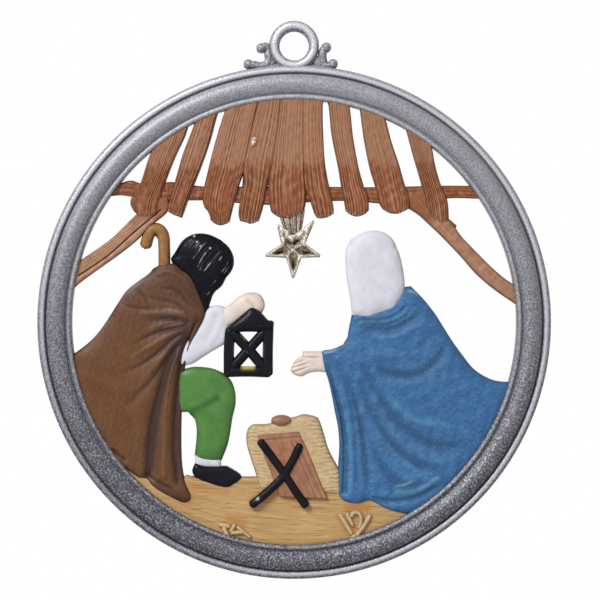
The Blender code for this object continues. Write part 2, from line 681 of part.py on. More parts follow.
def add_woman():
    """The kneeling woman, seen from behind: hand, cloak and veil."""
    hand = outline(
        left=[(1.15, -4.0), (1.1, -4.6), (0.2, -5.2), (-0.3, -6.0), (-0.5, -6.6), (0.0, -7.2)],
        right=[(4.3, -4.0), (4.6, -6.9)],
        bottom=[(1.0, -7.45), (2.0, -7.0), (3.0, -6.8)],
    )
    fingers = [
        crease(0.2, 0.16, (-0.2, -5.7), (1.8, -5.0)),
        crease(0.2, 0.16, (-0.3, -6.2), (2.0, -5.6)),
        crease(0.2, 0.16, (-0.1, -6.8), (2.0, -6.1)),
    ]
    add_form("woman_hand", "skin", hand, (6, 8), WOMAN_HAND_HEIGHT, edge=1.0, shoulder=0.7, creases=fingers)
    cloak = outline(
        left=[
            (7.9, 1.2), (7.4, -1.2), (7.1, -2.7), (6.2, -3.3), (5.0, -3.75), (3.9, -3.95),
            (3.75, -4.6),
            (4.1, -6.2), (4.8, -8.5), (5.6, -12.5), (6.0, -14.5), (6.15, -17.0), (6.0, -20.0),
            (6.0, -24.1),
        ],
        right=[
            (15.9, 4.9), (17.0, 3.8), (18.0, 2.7), (19.3, 1.0), (20.3, -0.6), (21.5, -2.5),
            (22.8, -4.3),
            (24.3, -6.2), (25.8, -7.3), (27.5, -8.0), at_ring(-15.5),
        ],
        top=[(10.5, 1.8), (13.0, 2.8), (15.0, 4.7)],
        bottom=[
            (7.3, -24.55), (8.7, -24.7), (10.2, -24.3), (11.2, -24.7), (12.5, -25.4), (14.2, -25.9),
            (15.6, -26.1),
            *ring_arc(-57, -19, 6),
        ],
    )
    folds = [
        crease(0.3, 0.6, (10.5, -0.3), (13.0, -0.7), (15.5, 0.2), (17.3, 1.9)),
        crease(0.35, 0.9, (12.0, -6.7), (15.5, -7.1), (18.2, -6.2), (20.3, -4.0)),
        crease(
            0.4, 0.9, (9.5, -6.0), (11.5, -9.5), (14.0, -13.0), (17.0, -15.7), (20.5, -17.0),
            (24.5, -16.3)
        ),
        crease(0.4, 0.9, (9.6, -9.0), (11.5, -13.5), (14.0, -16.8), (17.5, -19.2), (20.5, -19.8)),
        crease(0.4, 0.8, (9.8, -14.0), (12.0, -17.8), (14.0, -21.0), (16.0, -22.2), (19.0, -21.6)),
        crease(0.35, 0.5, (5.2, -8.0), (6.6, -12.5), (7.2, -17.0), (7.0, -23.5)),
        crease(0.3, 0.7, (6.4, -4.8), (8.0, -8.5), (9.2, -13.0), (9.9, -18.0), (10.2, -23.0)),
        crease(0.35, 0.6, (10.5, -23.9), (13.5, -24.3), (16.8, -23.7), (20.3, -21.7)),
        crease(-0.3, 0.6, (13.5, -23.2), (17.0, -22.8), (20.0, -21.0)),
        crease(-0.25, 1.2, (9.5, -4.5), (13.0, -4.0), (17.0, -3.3)),
        crease(-0.3, 1.1, (13.0, -10.0), (17.0, -13.0), (22.0, -14.0)),
    ]
    add_form(
        "woman_cloak", "cloak_blue", cloak, (16, 17), WOMAN_CLOAK_HEIGHT, CLOAK_EDGE, CLOAK_SHOULDER,
        creases=folds,
    )
    veil = outline(
        left=[(7.7, 11.2), (7.1, 10.0), (7.0, 8.5), (7.2, 6.0), (7.6, 3.5), (7.9, 1.0)],
        right=[(14.0, 10.3), (14.6, 8.3), (15.0, 6.0), (15.0, 4.4), (14.4, 2.6)],
        top=[(9.0, 12.0), (10.2, 12.4), (11.3, 12.45), (12.4, 12.1), (13.3, 11.4)],
        bottom=[(9.0, 0.75), (10.1, 0.6), (11.0, 0.9), (12.3, 1.3), (13.6, 1.8)],
    )
    add_form("veil", "white", veil, (9, 10), VEIL_HEIGHT, edge=1.6, shoulder=2.6)


def hay_strands(point, u, v):
    """Short strands that lie outwards over the manger's rim."""
    return 0.09 * math.cos(2 * math.pi * 7 * v) * max(0.0, 2 * abs(u - 0.5) - 0.2)


CHILD_HEAD = (-1.75, -13.45)
CHILD_HEAD_WIDTH = 2.8
CHILD_HEAD_TALL = 1.5


def add_manger():
    """The manger: hay heaped round an end board, the child's head above it, and a pair of crossed legs."""
    hay = outline(
        left=[
            (-6.3, -14.5), (-6.55, -15.5), (-6.4, -17.0), (-5.9, -18.7), (-5.4, -20.2),
            (-5.0, -21.5), (-4.6, -23.0),
        ],
        right=[
            (3.3, -13.1), (3.75, -14.2), (4.2, -15.7), (4.5, -16.8), (5.0, -18.0), (5.7, -19.3),
            (6.3, -20.5), (6.5, -23.5),
        ],
        top=[
            (-5.6, -14.0), (-3.9, -13.95), (-2.5, -13.6), (-0.6, -13.1), (0.3, -12.9), (1.2, -12.6),
            (2.4, -12.75),
        ],
    )
    add_form("hay", "straw", hay, (8, 14), HAY_HEIGHT, edge=1.2, shoulder=0.9, carving=hay_strands)
    board = outline(
        left=[(-5.0, -15.4), (-4.2, -17.9), (-3.0, -21.0), (-1.9, -23.8)],
        right=[(0.65, -14.9), (2.0, -17.8), (3.2, -20.8), (4.6, -24.1)],
    )
    add_form("end_board", "panel_brown", board, (4, 6), PANEL_HEIGHT, PANEL_HEIGHT - 0.15, shoulder=0.25)
    head = oval(CHILD_HEAD, CHILD_HEAD_WIDTH, CHILD_HEAD_TALL)
    add_form("child_head", "panel_brown", head, (6, 5), CHILD_HEIGHT, edge=1.5, shoulder=CHILD_HEAD_TALL / 2)
    legs = [
        [(-4.5, -16.35), (-2.9, -18.5), (-1.3, -20.7), (0.2, -23.0), (1.5, -24.85)],
        [(0.75, -16.9), (-0.4, -19.2), (-1.6, -21.1), (-3.6, -23.1), (-5.65, -24.8)],
    ]
    for number, path in enumerate(legs):
        add_bar(f"leg_{number}", "black", path, LEG_WIDTH, LEG_HEIGHT, edge=1.9)


def add_ground():
    """The ground, a shallow bank of straw along the foot of the ring, with loose tufts on it."""
    bank = outline(
        left=[*ring_arc(219, 222, 2)],
        right=[(17.6, -24.9), *ring_arc(-55.5, -57.0, 2)],
        top=[
            (-19.0, -21.4), (-15.2, -21.2), (-14.7, -20.9), (-13.5, -21.2), (-7.2, -21.1),
            (0.0, -21.3), (10.0, -23.0), (15.0, -24.2),
        ],
        bottom=[*ring_arc(228, 298, 10)],
    )
    furrows = cross_grain(3, depth=0.1)
    add_form("ground", "straw", bank, (20, 6), GROUND_HEIGHT, edge=1.2, shoulder=0.6, carving=furrows)
    straws = [
        [(-10.1, -27.6), (-8.8, -27.8)],
        [(-9.6, -28.0), (-8.9, -29.5)],
        [(-8.1, -27.6), (-8.6, -28.5), (-6.9, -28.6)],
        [(-7.7, -27.9), (-6.0, -29.3)],
        [(6.3, -26.3), (7.0, -27.4), (7.8, -28.8)],
        [(7.2, -26.1), (7.6, -26.9), (8.0, -27.7)],
        [(7.8, -26.4), (8.2, -25.95), (8.8, -26.0), (9.15, -26.8), (8.9, -28.0)],
        [(10.3, -26.4), (9.6, -27.6), (8.6, -29.0)],
    ]
    for number, path in enumerate(straws):
        add_bar(f"straw_{number}", "straw", path, STRAW_WIDTH, STRAW_HEIGHT, edge=1.5)
    knot = oval((8.2, -29.3), 2 * STRAW_WIDTH, 2 * STRAW_WIDTH)
    add_form("straw_knot", "straw", knot, (4, 4), STRAW_HEIGHT, edge=1.5, shoulder=STRAW_WIDTH)


def join_casting(ring):
    """A Boolean union makes the ring and every form in it one casting, and a cut makes its back flat."""
    forms = bpy.data.collections.new("cast_forms")
    bpy.context.scene.collection.children.link(forms)
    for item in list(bpy.context.scene.collection.objects):
        if item.type == "MESH" and item != ring:
            bpy.context.scene.collection.objects.unlink(item)
            forms.objects.link(item)
            item.hide_render = True
            item.display_type = "WIRE"
    union = ring.modifiers.new("one_casting", "BOOLEAN")
    union.operation = "UNION"
    union.operand_type = "COLLECTION"
    union.solver = "EXACT"
    union.material_mode = "TRANSFER"
    union.collection = forms
    shape = bmesh.new()
    bmesh.ops.create_cube(shape, size=1.0)
    depth = 4 * SPARE_DEPTH
    bmesh.ops.scale(shape, vec=(4 * RING_RADIUS, depth, 4 * RING_RADIUS), verts=shape.verts)
    bmesh.ops.translate(shape, vec=(0, BACK + depth / 2, 0), verts=shape.verts)
    cutter = add_feature("flat_back_cut", shape, "pewter")
    cutter.hide_render = True
    cutter.display_type = "WIRE"
    level = ring.modifiers.new("flat_back", "BOOLEAN")
    level.operation = "DIFFERENCE"
    level.solver = "EXACT"
    level.object = cutter


def main():
    clear_scene()
    centre = bpy.data.objects.new("ring_centre", None)
    centre.location = (0, 0, -EYE_RISE * MM)
    bpy.context.scene.collection.objects.link(centre)
    ring = add_ring()
    add_eye()
    add_scrolls()
    add_roof()
    add_star()
    add_man()
    add_woman()
    add_ground()
    add_manger()
    join_casting(ring)


main()
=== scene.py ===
"""The painted look of a round nativity ornament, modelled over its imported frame.

Each figure is a closed relief of its own: a fine surface stretched between four drawn sides, rounded over at
its rim, with its folds, strands or grain carved into it. A slab cut from the frame's back carries them all.

A point (x, z) is in millimetres from the ring's centre, x to the right and z up. A height is in millimetres
from the flat back towards the viewer, who looks along +Y.
"""

import math

import bmesh
import bpy
import numpy as np
from bpy.props import FloatProperty, FloatVectorProperty, PointerProperty
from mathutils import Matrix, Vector


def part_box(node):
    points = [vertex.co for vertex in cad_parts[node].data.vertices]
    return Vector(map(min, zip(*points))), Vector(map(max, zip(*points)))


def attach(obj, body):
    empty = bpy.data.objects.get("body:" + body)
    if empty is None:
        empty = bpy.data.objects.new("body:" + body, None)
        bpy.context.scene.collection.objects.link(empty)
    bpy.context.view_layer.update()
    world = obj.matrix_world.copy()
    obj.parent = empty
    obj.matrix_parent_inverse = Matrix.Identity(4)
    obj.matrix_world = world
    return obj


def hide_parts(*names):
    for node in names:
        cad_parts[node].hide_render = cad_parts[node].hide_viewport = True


bl_info = {
    "name": "Nativity ornament",
    "version": (1, 0, 0),
    "blender": (4, 5, 0),
    "location": "View3D > Sidebar > Ornament",
    "description": "Models a hand-painted nativity ornament over its packed frame",
    "category": "Add Mesh",
}

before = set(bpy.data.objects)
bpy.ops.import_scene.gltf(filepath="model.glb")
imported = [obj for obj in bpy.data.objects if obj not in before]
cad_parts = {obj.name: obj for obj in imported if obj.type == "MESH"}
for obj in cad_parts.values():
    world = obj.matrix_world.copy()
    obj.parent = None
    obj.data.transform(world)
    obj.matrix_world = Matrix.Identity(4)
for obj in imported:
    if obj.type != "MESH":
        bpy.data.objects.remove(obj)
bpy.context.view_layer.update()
CAST = "cast_ornament"
CAST_LOW, CAST_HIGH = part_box(CAST)

MM = 0.001

RING_RADIUS = (CAST_HIGH.x - CAST_LOW.x) / 2 / MM
CENTRE_X = (CAST_HIGH.x + CAST_LOW.x) / 2
CENTRE_Z = CAST_LOW.z + RING_RADIUS * MM
BACK_Y = CAST_HIGH.y

# The picture's points are drawn for a ring that is open this far across
DRAWN_OPENING = 60.68

# The slab behind the figures, how far its outline stays inside theirs, and where their walls start
SLAB_DEPTH = 0.6
SLAB_INSET = 0.08
WALL_START = 0.3

# How far, in metres, a back face may lie from the back, and how close two points are when they are one
FLATNESS = 0.01 * MM
MERGED = 1e-7

# Steps that the turned pieces are made in, and cuts in each edge of the star
RING_STEPS = 480
EYE_STEPS = 96
STAR_CUTS = 24

# Passes of blurring that take away a form's close detail and its broad detail
CLOSE_BLUR = 12
BROAD_BLUR = 60

# Faces that meet at a greater angle than this, in degrees, have a sharp edge
SHARP_ANGLE = 50

# Width of the lantern's posts, sill and cross
LANTERN_BAR = 1.42

# Heights of the ring's mouldings above the back
BEAD_CREST = 2.1
BAND_CREST = (CAST_HIGH.y - CAST_LOW.y) / MM
BAND_EDGE = 2.2
LIP_CREST = 2.25
GROOVE_FLOOR = 1.5
LIP_FLOOR = 1.9

EYE_HOLE = 2.0
EYE_RADIUS = 3.4
EYE_RISE = 37.7

# The picture is 600 pixels wide, and so many millimetres at the object
VIEW_WIDTH = 81.9
VIEW_X = 0.8
VIEW_RISE = 3.0
LENS = 120.0
SENSOR = 36.0


def length_property(name, description, default):
    return FloatProperty(name=name, description=description, default=default, unit="LENGTH")


def colour_property(name, description, default):
    return FloatVectorProperty(
        name=name,
        description=description,
        default=default,
        subtype="COLOR",
        size=3,
        min=0.0,
        max=1.0,
    )


class OrnamentSizes(bpy.types.PropertyGroup):
    """The sizes that a user would change."""

    bead_width: length_property("Bead width", "Width of the ring's outer bead", 0.0011)
    band_width: length_property("Band width", "Width of the ring's broad band", 0.00244)
    lip_width: length_property("Lip width", "Width of the thin lip round the ring's opening", 0.00072)
    groove_width: length_property(
        "Groove width", "Width of the grooves between the ring's mouldings", 0.0002
    )
    relief_pitch: length_property("Relief pitch", "Distance between the points of a carved surface", 0.00016)
    fold_depth: FloatProperty(
        name="Fold depth",
        description="How deep the cloaks' folds are carved, as a share of their drawn depth",
        default=1.0,
        min=0.0,
        max=1.5,
    )


class OrnamentColours(bpy.types.PropertyGroup):
    """The colours of the metal and the paints."""

    pewter: colour_property("Pewter", "Bare metal of the ring", (0.365, 0.365, 0.402))
    gold: colour_property("Pale gold", "Metal of the star", (0.235, 0.190, 0.135))
    tail: colour_property("Dull gold", "Metal of the star's tail", (0.350, 0.280, 0.220))
    roof: colour_property("Roof brown", "Planks and beam", (0.212, 0.062, 0.020))
    crook: colour_property("Crook brown", "The crook", (0.300, 0.140, 0.050))
    cloak_brown: colour_property("Cloak brown", "The man's cloak", (0.125, 0.052, 0.020))
    cloak_blue: colour_property("Cloak blue", "The woman's cloak", (0.036, 0.125, 0.290))
    white: colour_property("White", "Veil, sleeve and sock", (0.630, 0.635, 0.705))
    black: colour_property("Black", "Hair, shoe, lantern and manger legs", (0.006, 0.006, 0.010))
    green: colour_property("Green", "Trousers", (0.074, 0.194, 0.045))
    skin: colour_property("Flesh", "Hands", (0.700, 0.605, 0.530))
    straw: colour_property("Straw", "Ground, tufts and hay", (0.480, 0.300, 0.124))
    panel: colour_property("Board brown", "The manger's end board", (0.330, 0.150, 0.085))


def mm(length):
    """A length property in millimetres."""
    return length / MM


def place(x, height, z):
    """The scene's point for a place in the picture and a height above the back."""
    return (CENTRE_X + x * MM, BACK_Y - height * MM, CENTRE_Z + z * MM)


class Value:
    """A socket that takes part in sums. Each sum adds its own Math node."""

    def __init__(self, finish, socket):
        self.finish = finish
        self.socket = socket

    def __add__(self, other):
        return self.finish.math("ADD", self, other)

    __radd__ = __add__

    def __sub__(self, other):
        return self.finish.math("SUBTRACT", self, other)

    def __rsub__(self, other):
        return self.finish.math("SUBTRACT", other, self)

    def __mul__(self, other):
        return self.finish.math("MULTIPLY", self, other)

    __rmul__ = __mul__

    def limited(self):
        return self.finish.math("MULTIPLY", self, 1.0, clamp=True)


class Finish:
    """A material, and the nodes that it is made from."""

    def __init__(self, name):
        self.material = bpy.data.materials.new(name)
        self.material.use_nodes = True
        self.tree = self.material.node_tree
        self.tree.nodes.clear()
        self.place = self.node("ShaderNodeTexCoord", output="Object")

    def node(self, kind, settings=None, sockets=None, output=0):
        """A node with its settings, then the values or links of its sockets."""
        made = self.tree.nodes.new(kind)
        for key, value in (settings or {}).items():
            if key == "stops":
                ramp = made.color_ramp
                while len(ramp.elements) < len(value):
                    ramp.elements.new(0.5)
                for element, (position, colour) in zip(ramp.elements, value):
                    element.position = position
                    element.color = (*colour, 1.0)
            else:
                setattr(made, key, value)
        for key, value in (sockets or {}).items():
            if isinstance(value, Value):
                self.tree.links.new(value.socket, made.inputs[key])
            else:
                made.inputs[key].default_value = value
        return Value(self, made.outputs[output])

    def math(self, operation, first, second, clamp=False):
        settings = {"operation": operation, "use_clamp": clamp}
        return self.node("ShaderNodeMath", settings, {0: first, 1: second})

    def mix(self, share, first, second):
        """A colour between the first and the second."""
        colours = [c if isinstance(c, Value) else (*c, 1.0) for c in (first, second)]
        sockets = {0: share, 6: colours[0], 7: colours[1]}
        return self.node("ShaderNodeMix", {"data_type": "RGBA"}, sockets, output=2)

    def noise(self, size, detail=2.0, stretch=None, along=False, shift=0.0):
        """Cloudy noise whose patches are about that many millimetres across."""
        vector = self.attribute("along", "Vector") if along else self.place
        unit = 1.0 if along else 1.0 / MM
        scale = [unit / (size * s) for s in (stretch or (1.0, 1.0, 1.0))]
        sockets = {"Vector": vector, "Scale": scale, "Location": (shift, 2.0 * shift, 3.0 * shift)}
        moved = self.node("ShaderNodeMapping", None, sockets)
        return self.node("ShaderNodeTexNoise", None, {"Vector": moved, "Scale": 1.0, "Detail": detail})

    def attribute(self, name, output="Fac"):
        return self.node("ShaderNodeAttribute", {"attribute_name": name}, output=output)

    def between(self, value, low, high):
        """0 below low and 1 above high, and smooth between them."""
        return self.node(
            "ShaderNodeMapRange",
            {"interpolation_type": "SMOOTHSTEP"},
            {"Value": value, "From Min": low, "From Max": high},
        )

    def bump(self, height, depth):
        """A rough surface whose full height is that many millimetres."""
        return self.node("ShaderNodeBump", None, {"Height": height, "Distance": depth * MM, "Strength": 1.0})

    def sideways(self, left, right):
        """0 left of one place in the picture and 1 right of the other."""
        across = self.node("ShaderNodeSeparateXYZ", None, {0: self.place}, output=0)
        return self.between(across, CENTRE_X + left * MM, CENTRE_X + right * MM)

    def climb(self, low, high, ragged=0.0):
        """0 below one height of the picture and 1 above the other, with a border ragged by that much."""
        up = self.node("ShaderNodeSeparateXYZ", None, {0: self.place}, output=2)
        if ragged:
            up = up + (self.noise(1.1, detail=3.0, stretch=(1.0, 1.0, 2.2), shift=2.0) - 0.5) * (ragged * MM)
        return self.between(up, CENTRE_Z + low * MM, CENTRE_Z + high * MM)

    # An output node has no output of its own to wrap
    def close(self, shader):
        made = self.tree.nodes.new("ShaderNodeOutputMaterial")
        self.tree.links.new(shader.socket, made.inputs["Surface"])
        return self.material


def tint(colour, factor):
    return tuple(min(1.0, c * factor) for c in colour)


def principled(finish, **sockets):
    """Finishes the material with a Principled shader."""
    named = {key.replace("_", " "): value for key, value in sockets.items()}
    shader = finish.node("ShaderNodeBsdfPrincipled", None, named)
    return finish.close(shader)


def pewter_finish(name, colour):
    """Sand-cast pewter: a fine crisp grain with painted sparkle, painted highlights on its crests, and
    painted shade towards its foot, where the grain is coarser.
    """
    finish = Finish(name)
    grain = finish.noise(0.27, detail=1.0)
    cloud = finish.noise(2.6, detail=3.0, shift=4.0)
    # Painted sparkle: pale specks that stand for glints off the grain
    painted_sparkle = finish.between(finish.noise(0.23, detail=0.0, shift=9.0), 0.58, 0.68)
    hollow = finish.attribute("hollow")
    ridge = finish.attribute("ridge")
    # Painted shade: the metal darkens towards the ring's foot, and more so at its lower left
    painted_shade_below = 1.0 - finish.climb(-32.0, 28.0)
    shade = painted_shade_below * (1.0 - finish.sideways(-24.0, 2.0))
    body = finish.mix(painted_shade_below * 0.95, colour, tint(colour, 0.36))
    # Painted shade on the band's outer slope, which faces down at the ring's foot
    body = finish.mix(finish.attribute("rim") * painted_shade_below * 0.45, body, tint(colour, 0.18))
    body = finish.mix(shade * 0.35, body, tint(colour, 0.20))
    # Painted shade: darker towards the right
    body = finish.mix(finish.sideways(-8.0, 26.0) * 0.20, body, tint(colour, 0.45))
    # Dark pits of the grain, more of them where the painted shade is
    pits = (1.0 - finish.between(grain, 0.42, 0.55)) * (0.32 + 0.46 * painted_shade_below)
    body = finish.mix(pits, body, (0.024, 0.024, 0.040))
    body = finish.mix(finish.between(cloud, 0.35, 0.7) * 0.22, body, tint(colour, 0.55))
    # The painted sparkle, more of it towards the foot
    body = finish.mix(painted_sparkle * (0.10 + 0.32 * painted_shade_below), body, (0.60, 0.60, 0.74))
    mottled = finish.attribute("stain") * (1.0 - finish.between(grain, 0.42, 0.54))
    body = finish.mix(mottled.limited(), body, tint(colour, 0.28))
    # Painted highlights on the crests of the bead, the lip and the eye, weaker in the painted shade
    crest = ridge * (0.35 + 0.6 * grain) * (1.0 - 0.75 * shade)
    body = finish.mix(crest.limited(), body, (0.66, 0.66, 0.71))
    # Dark patina in the ring's groove, and painted shadow low on the inside of the eye
    body = finish.mix((hollow * (0.85 + 0.3 * grain)).limited(), body, (0.020, 0.021, 0.028))
    rough = 0.40 + 0.16 * grain - 0.10 * ridge
    bump = finish.bump(grain * 0.8 + cloud * 0.4, 0.06)
    return principled(
        finish, Base_Color=body, Metallic=0.30, Roughness=rough, Specular_IOR_Level=0.25, Normal=bump
    )


def gold_finish(name, colour, bright):
    """Pale gold rubbed over dark metal: its hollows dark with the metal and with painted shade, its crests
    pale with the gold and with painted highlights.
    """
    finish = Finish(name)
    grain = finish.noise(0.24, detail=2.0)
    hollow = finish.attribute("hollow")
    ridge = finish.attribute("ridge")
    body = finish.mix(finish.between(grain, 0.38, 0.62), tint(colour, 0.45), tint(colour, 1.35))
    body = finish.mix((hollow * (0.7 + 0.5 * grain)).limited(), body, (0.040, 0.027, 0.016))
    body = finish.mix((ridge * (0.30 + 0.75 * finish.between(grain, 0.30, 0.60))).limited(), body, bright)
    bump = finish.bump(grain, 0.08)
    return principled(
        finish, Base_Color=body, Metallic=0.25, Roughness=0.36, Specular_IOR_Level=0.4, Normal=bump
    )


def enamel_finish(
    name,
    colour,
    wash_and_shade,
    worn_and_highlight,
    roughness=0.45,
    mottle=0.18,
    mottle_size=1.4,
    wash_and_shade_share=0.85,
    worn_and_highlight_share=0.5,
    rim_share=0.5,
    streaks=None,
    flecks=None,
    grain=0.02,
    specular=0.2,
    second=None,
    fade=None,
    stain=None,
    glint=None,
):
    """Hand-brushed enamel: uneven in colour, darker in its hollows and at its rim, where washes have pooled
    and where shade is painted, and paler on its crests, where it is rubbed and where highlights are painted.

    Each share is how strongly a colour shows. fade is (colour, low, high, share, cover): what takes over
    between two heights, and how far it covers the other marks there. second is (size, threshold, colour,
    share) of patches, and flecks the same of small spots. streaks are (width, length, dark, pale, share) of
    brush marks or grain that follow the surface. stain and glint are (colour, share) of what
    is painted where the form is marked for them: stains, painted shadows, painted highlights and a painted
    glow for the first, and painted highlights and chipped paint for the second.
    """
    finish = Finish(name)
    cloud = finish.noise(mottle_size, detail=4.0)
    fine = finish.noise(0.28, detail=2.0, shift=5.0)
    darker, paler = tint(colour, 1.0 - mottle), tint(colour, 1.0 + mottle)
    body = finish.mix(finish.between(cloud, 0.3, 0.7), darker, paler)
    if fade:
        other, low, high, share, cover = fade
        above = finish.climb(low, high, ragged=6.0)
        body = finish.mix((above * (0.8 + 0.4 * cloud) * share).limited(), body, other)
    if second:
        size, threshold, patch_colour, share = second
        patches = finish.between(finish.noise(size, detail=3.0, shift=11.0), threshold, threshold + 0.15)
        body = finish.mix(patches * share, body, patch_colour)
    height = fine * 0.5 + cloud * 0.5
    if streaks:
        width, length, dark, pale, share = streaks
        lines = finish.noise(1.0, detail=2.0, stretch=(width, length, 1.0), along=True)
        body = finish.mix((1.0 - finish.between(lines, 0.34, 0.46)) * share, body, dark)
        body = finish.mix(finish.between(lines, 0.56, 0.68) * share, body, pale)
        height = height + lines
    hollow = finish.attribute("hollow")
    ridge = finish.attribute("ridge")
    rim = finish.attribute("rim")
    # Washes and painted shade in the hollows; rubbed paint and painted highlights on the crests
    body = finish.mix((hollow * (0.6 + 0.8 * fine) * wash_and_shade_share).limited(), body, wash_and_shade)
    body = finish.mix((ridge * (0.4 + 1.1 * fine) * worn_and_highlight_share).limited(), body, worn_and_highlight)
    if fade and cover:
        body = finish.mix(above * cover, body, other)
    # Where the form is marked: stains, painted shadows, painted highlights and the lantern's painted glow,
    # then painted highlights and chipped paint
    for mark, painting in (("stain", stain), ("glint", glint)):
        if painting:
            marked_colour, share = painting
            marked = finish.attribute(mark) * (0.65 + 0.7 * fine) * share
            body = finish.mix(marked.limited(), body, marked_colour)
    # Washes and painted shade along the rim of each form
    body = finish.mix((rim * (0.5 + fine) * rim_share).limited(), body, wash_and_shade)
    if flecks:
        size, threshold, fleck_colour, share = flecks
        spots = finish.between(finish.noise(size, detail=0.0, shift=8.0), threshold, threshold + 0.06)
        body = finish.mix(spots * share, body, fleck_colour)
    bump = finish.bump(height, grain)
    rough = (roughness - 0.08) + 0.16 * fine
    return principled(finish, Base_Color=body, Roughness=rough, Specular_IOR_Level=specular, Normal=bump)


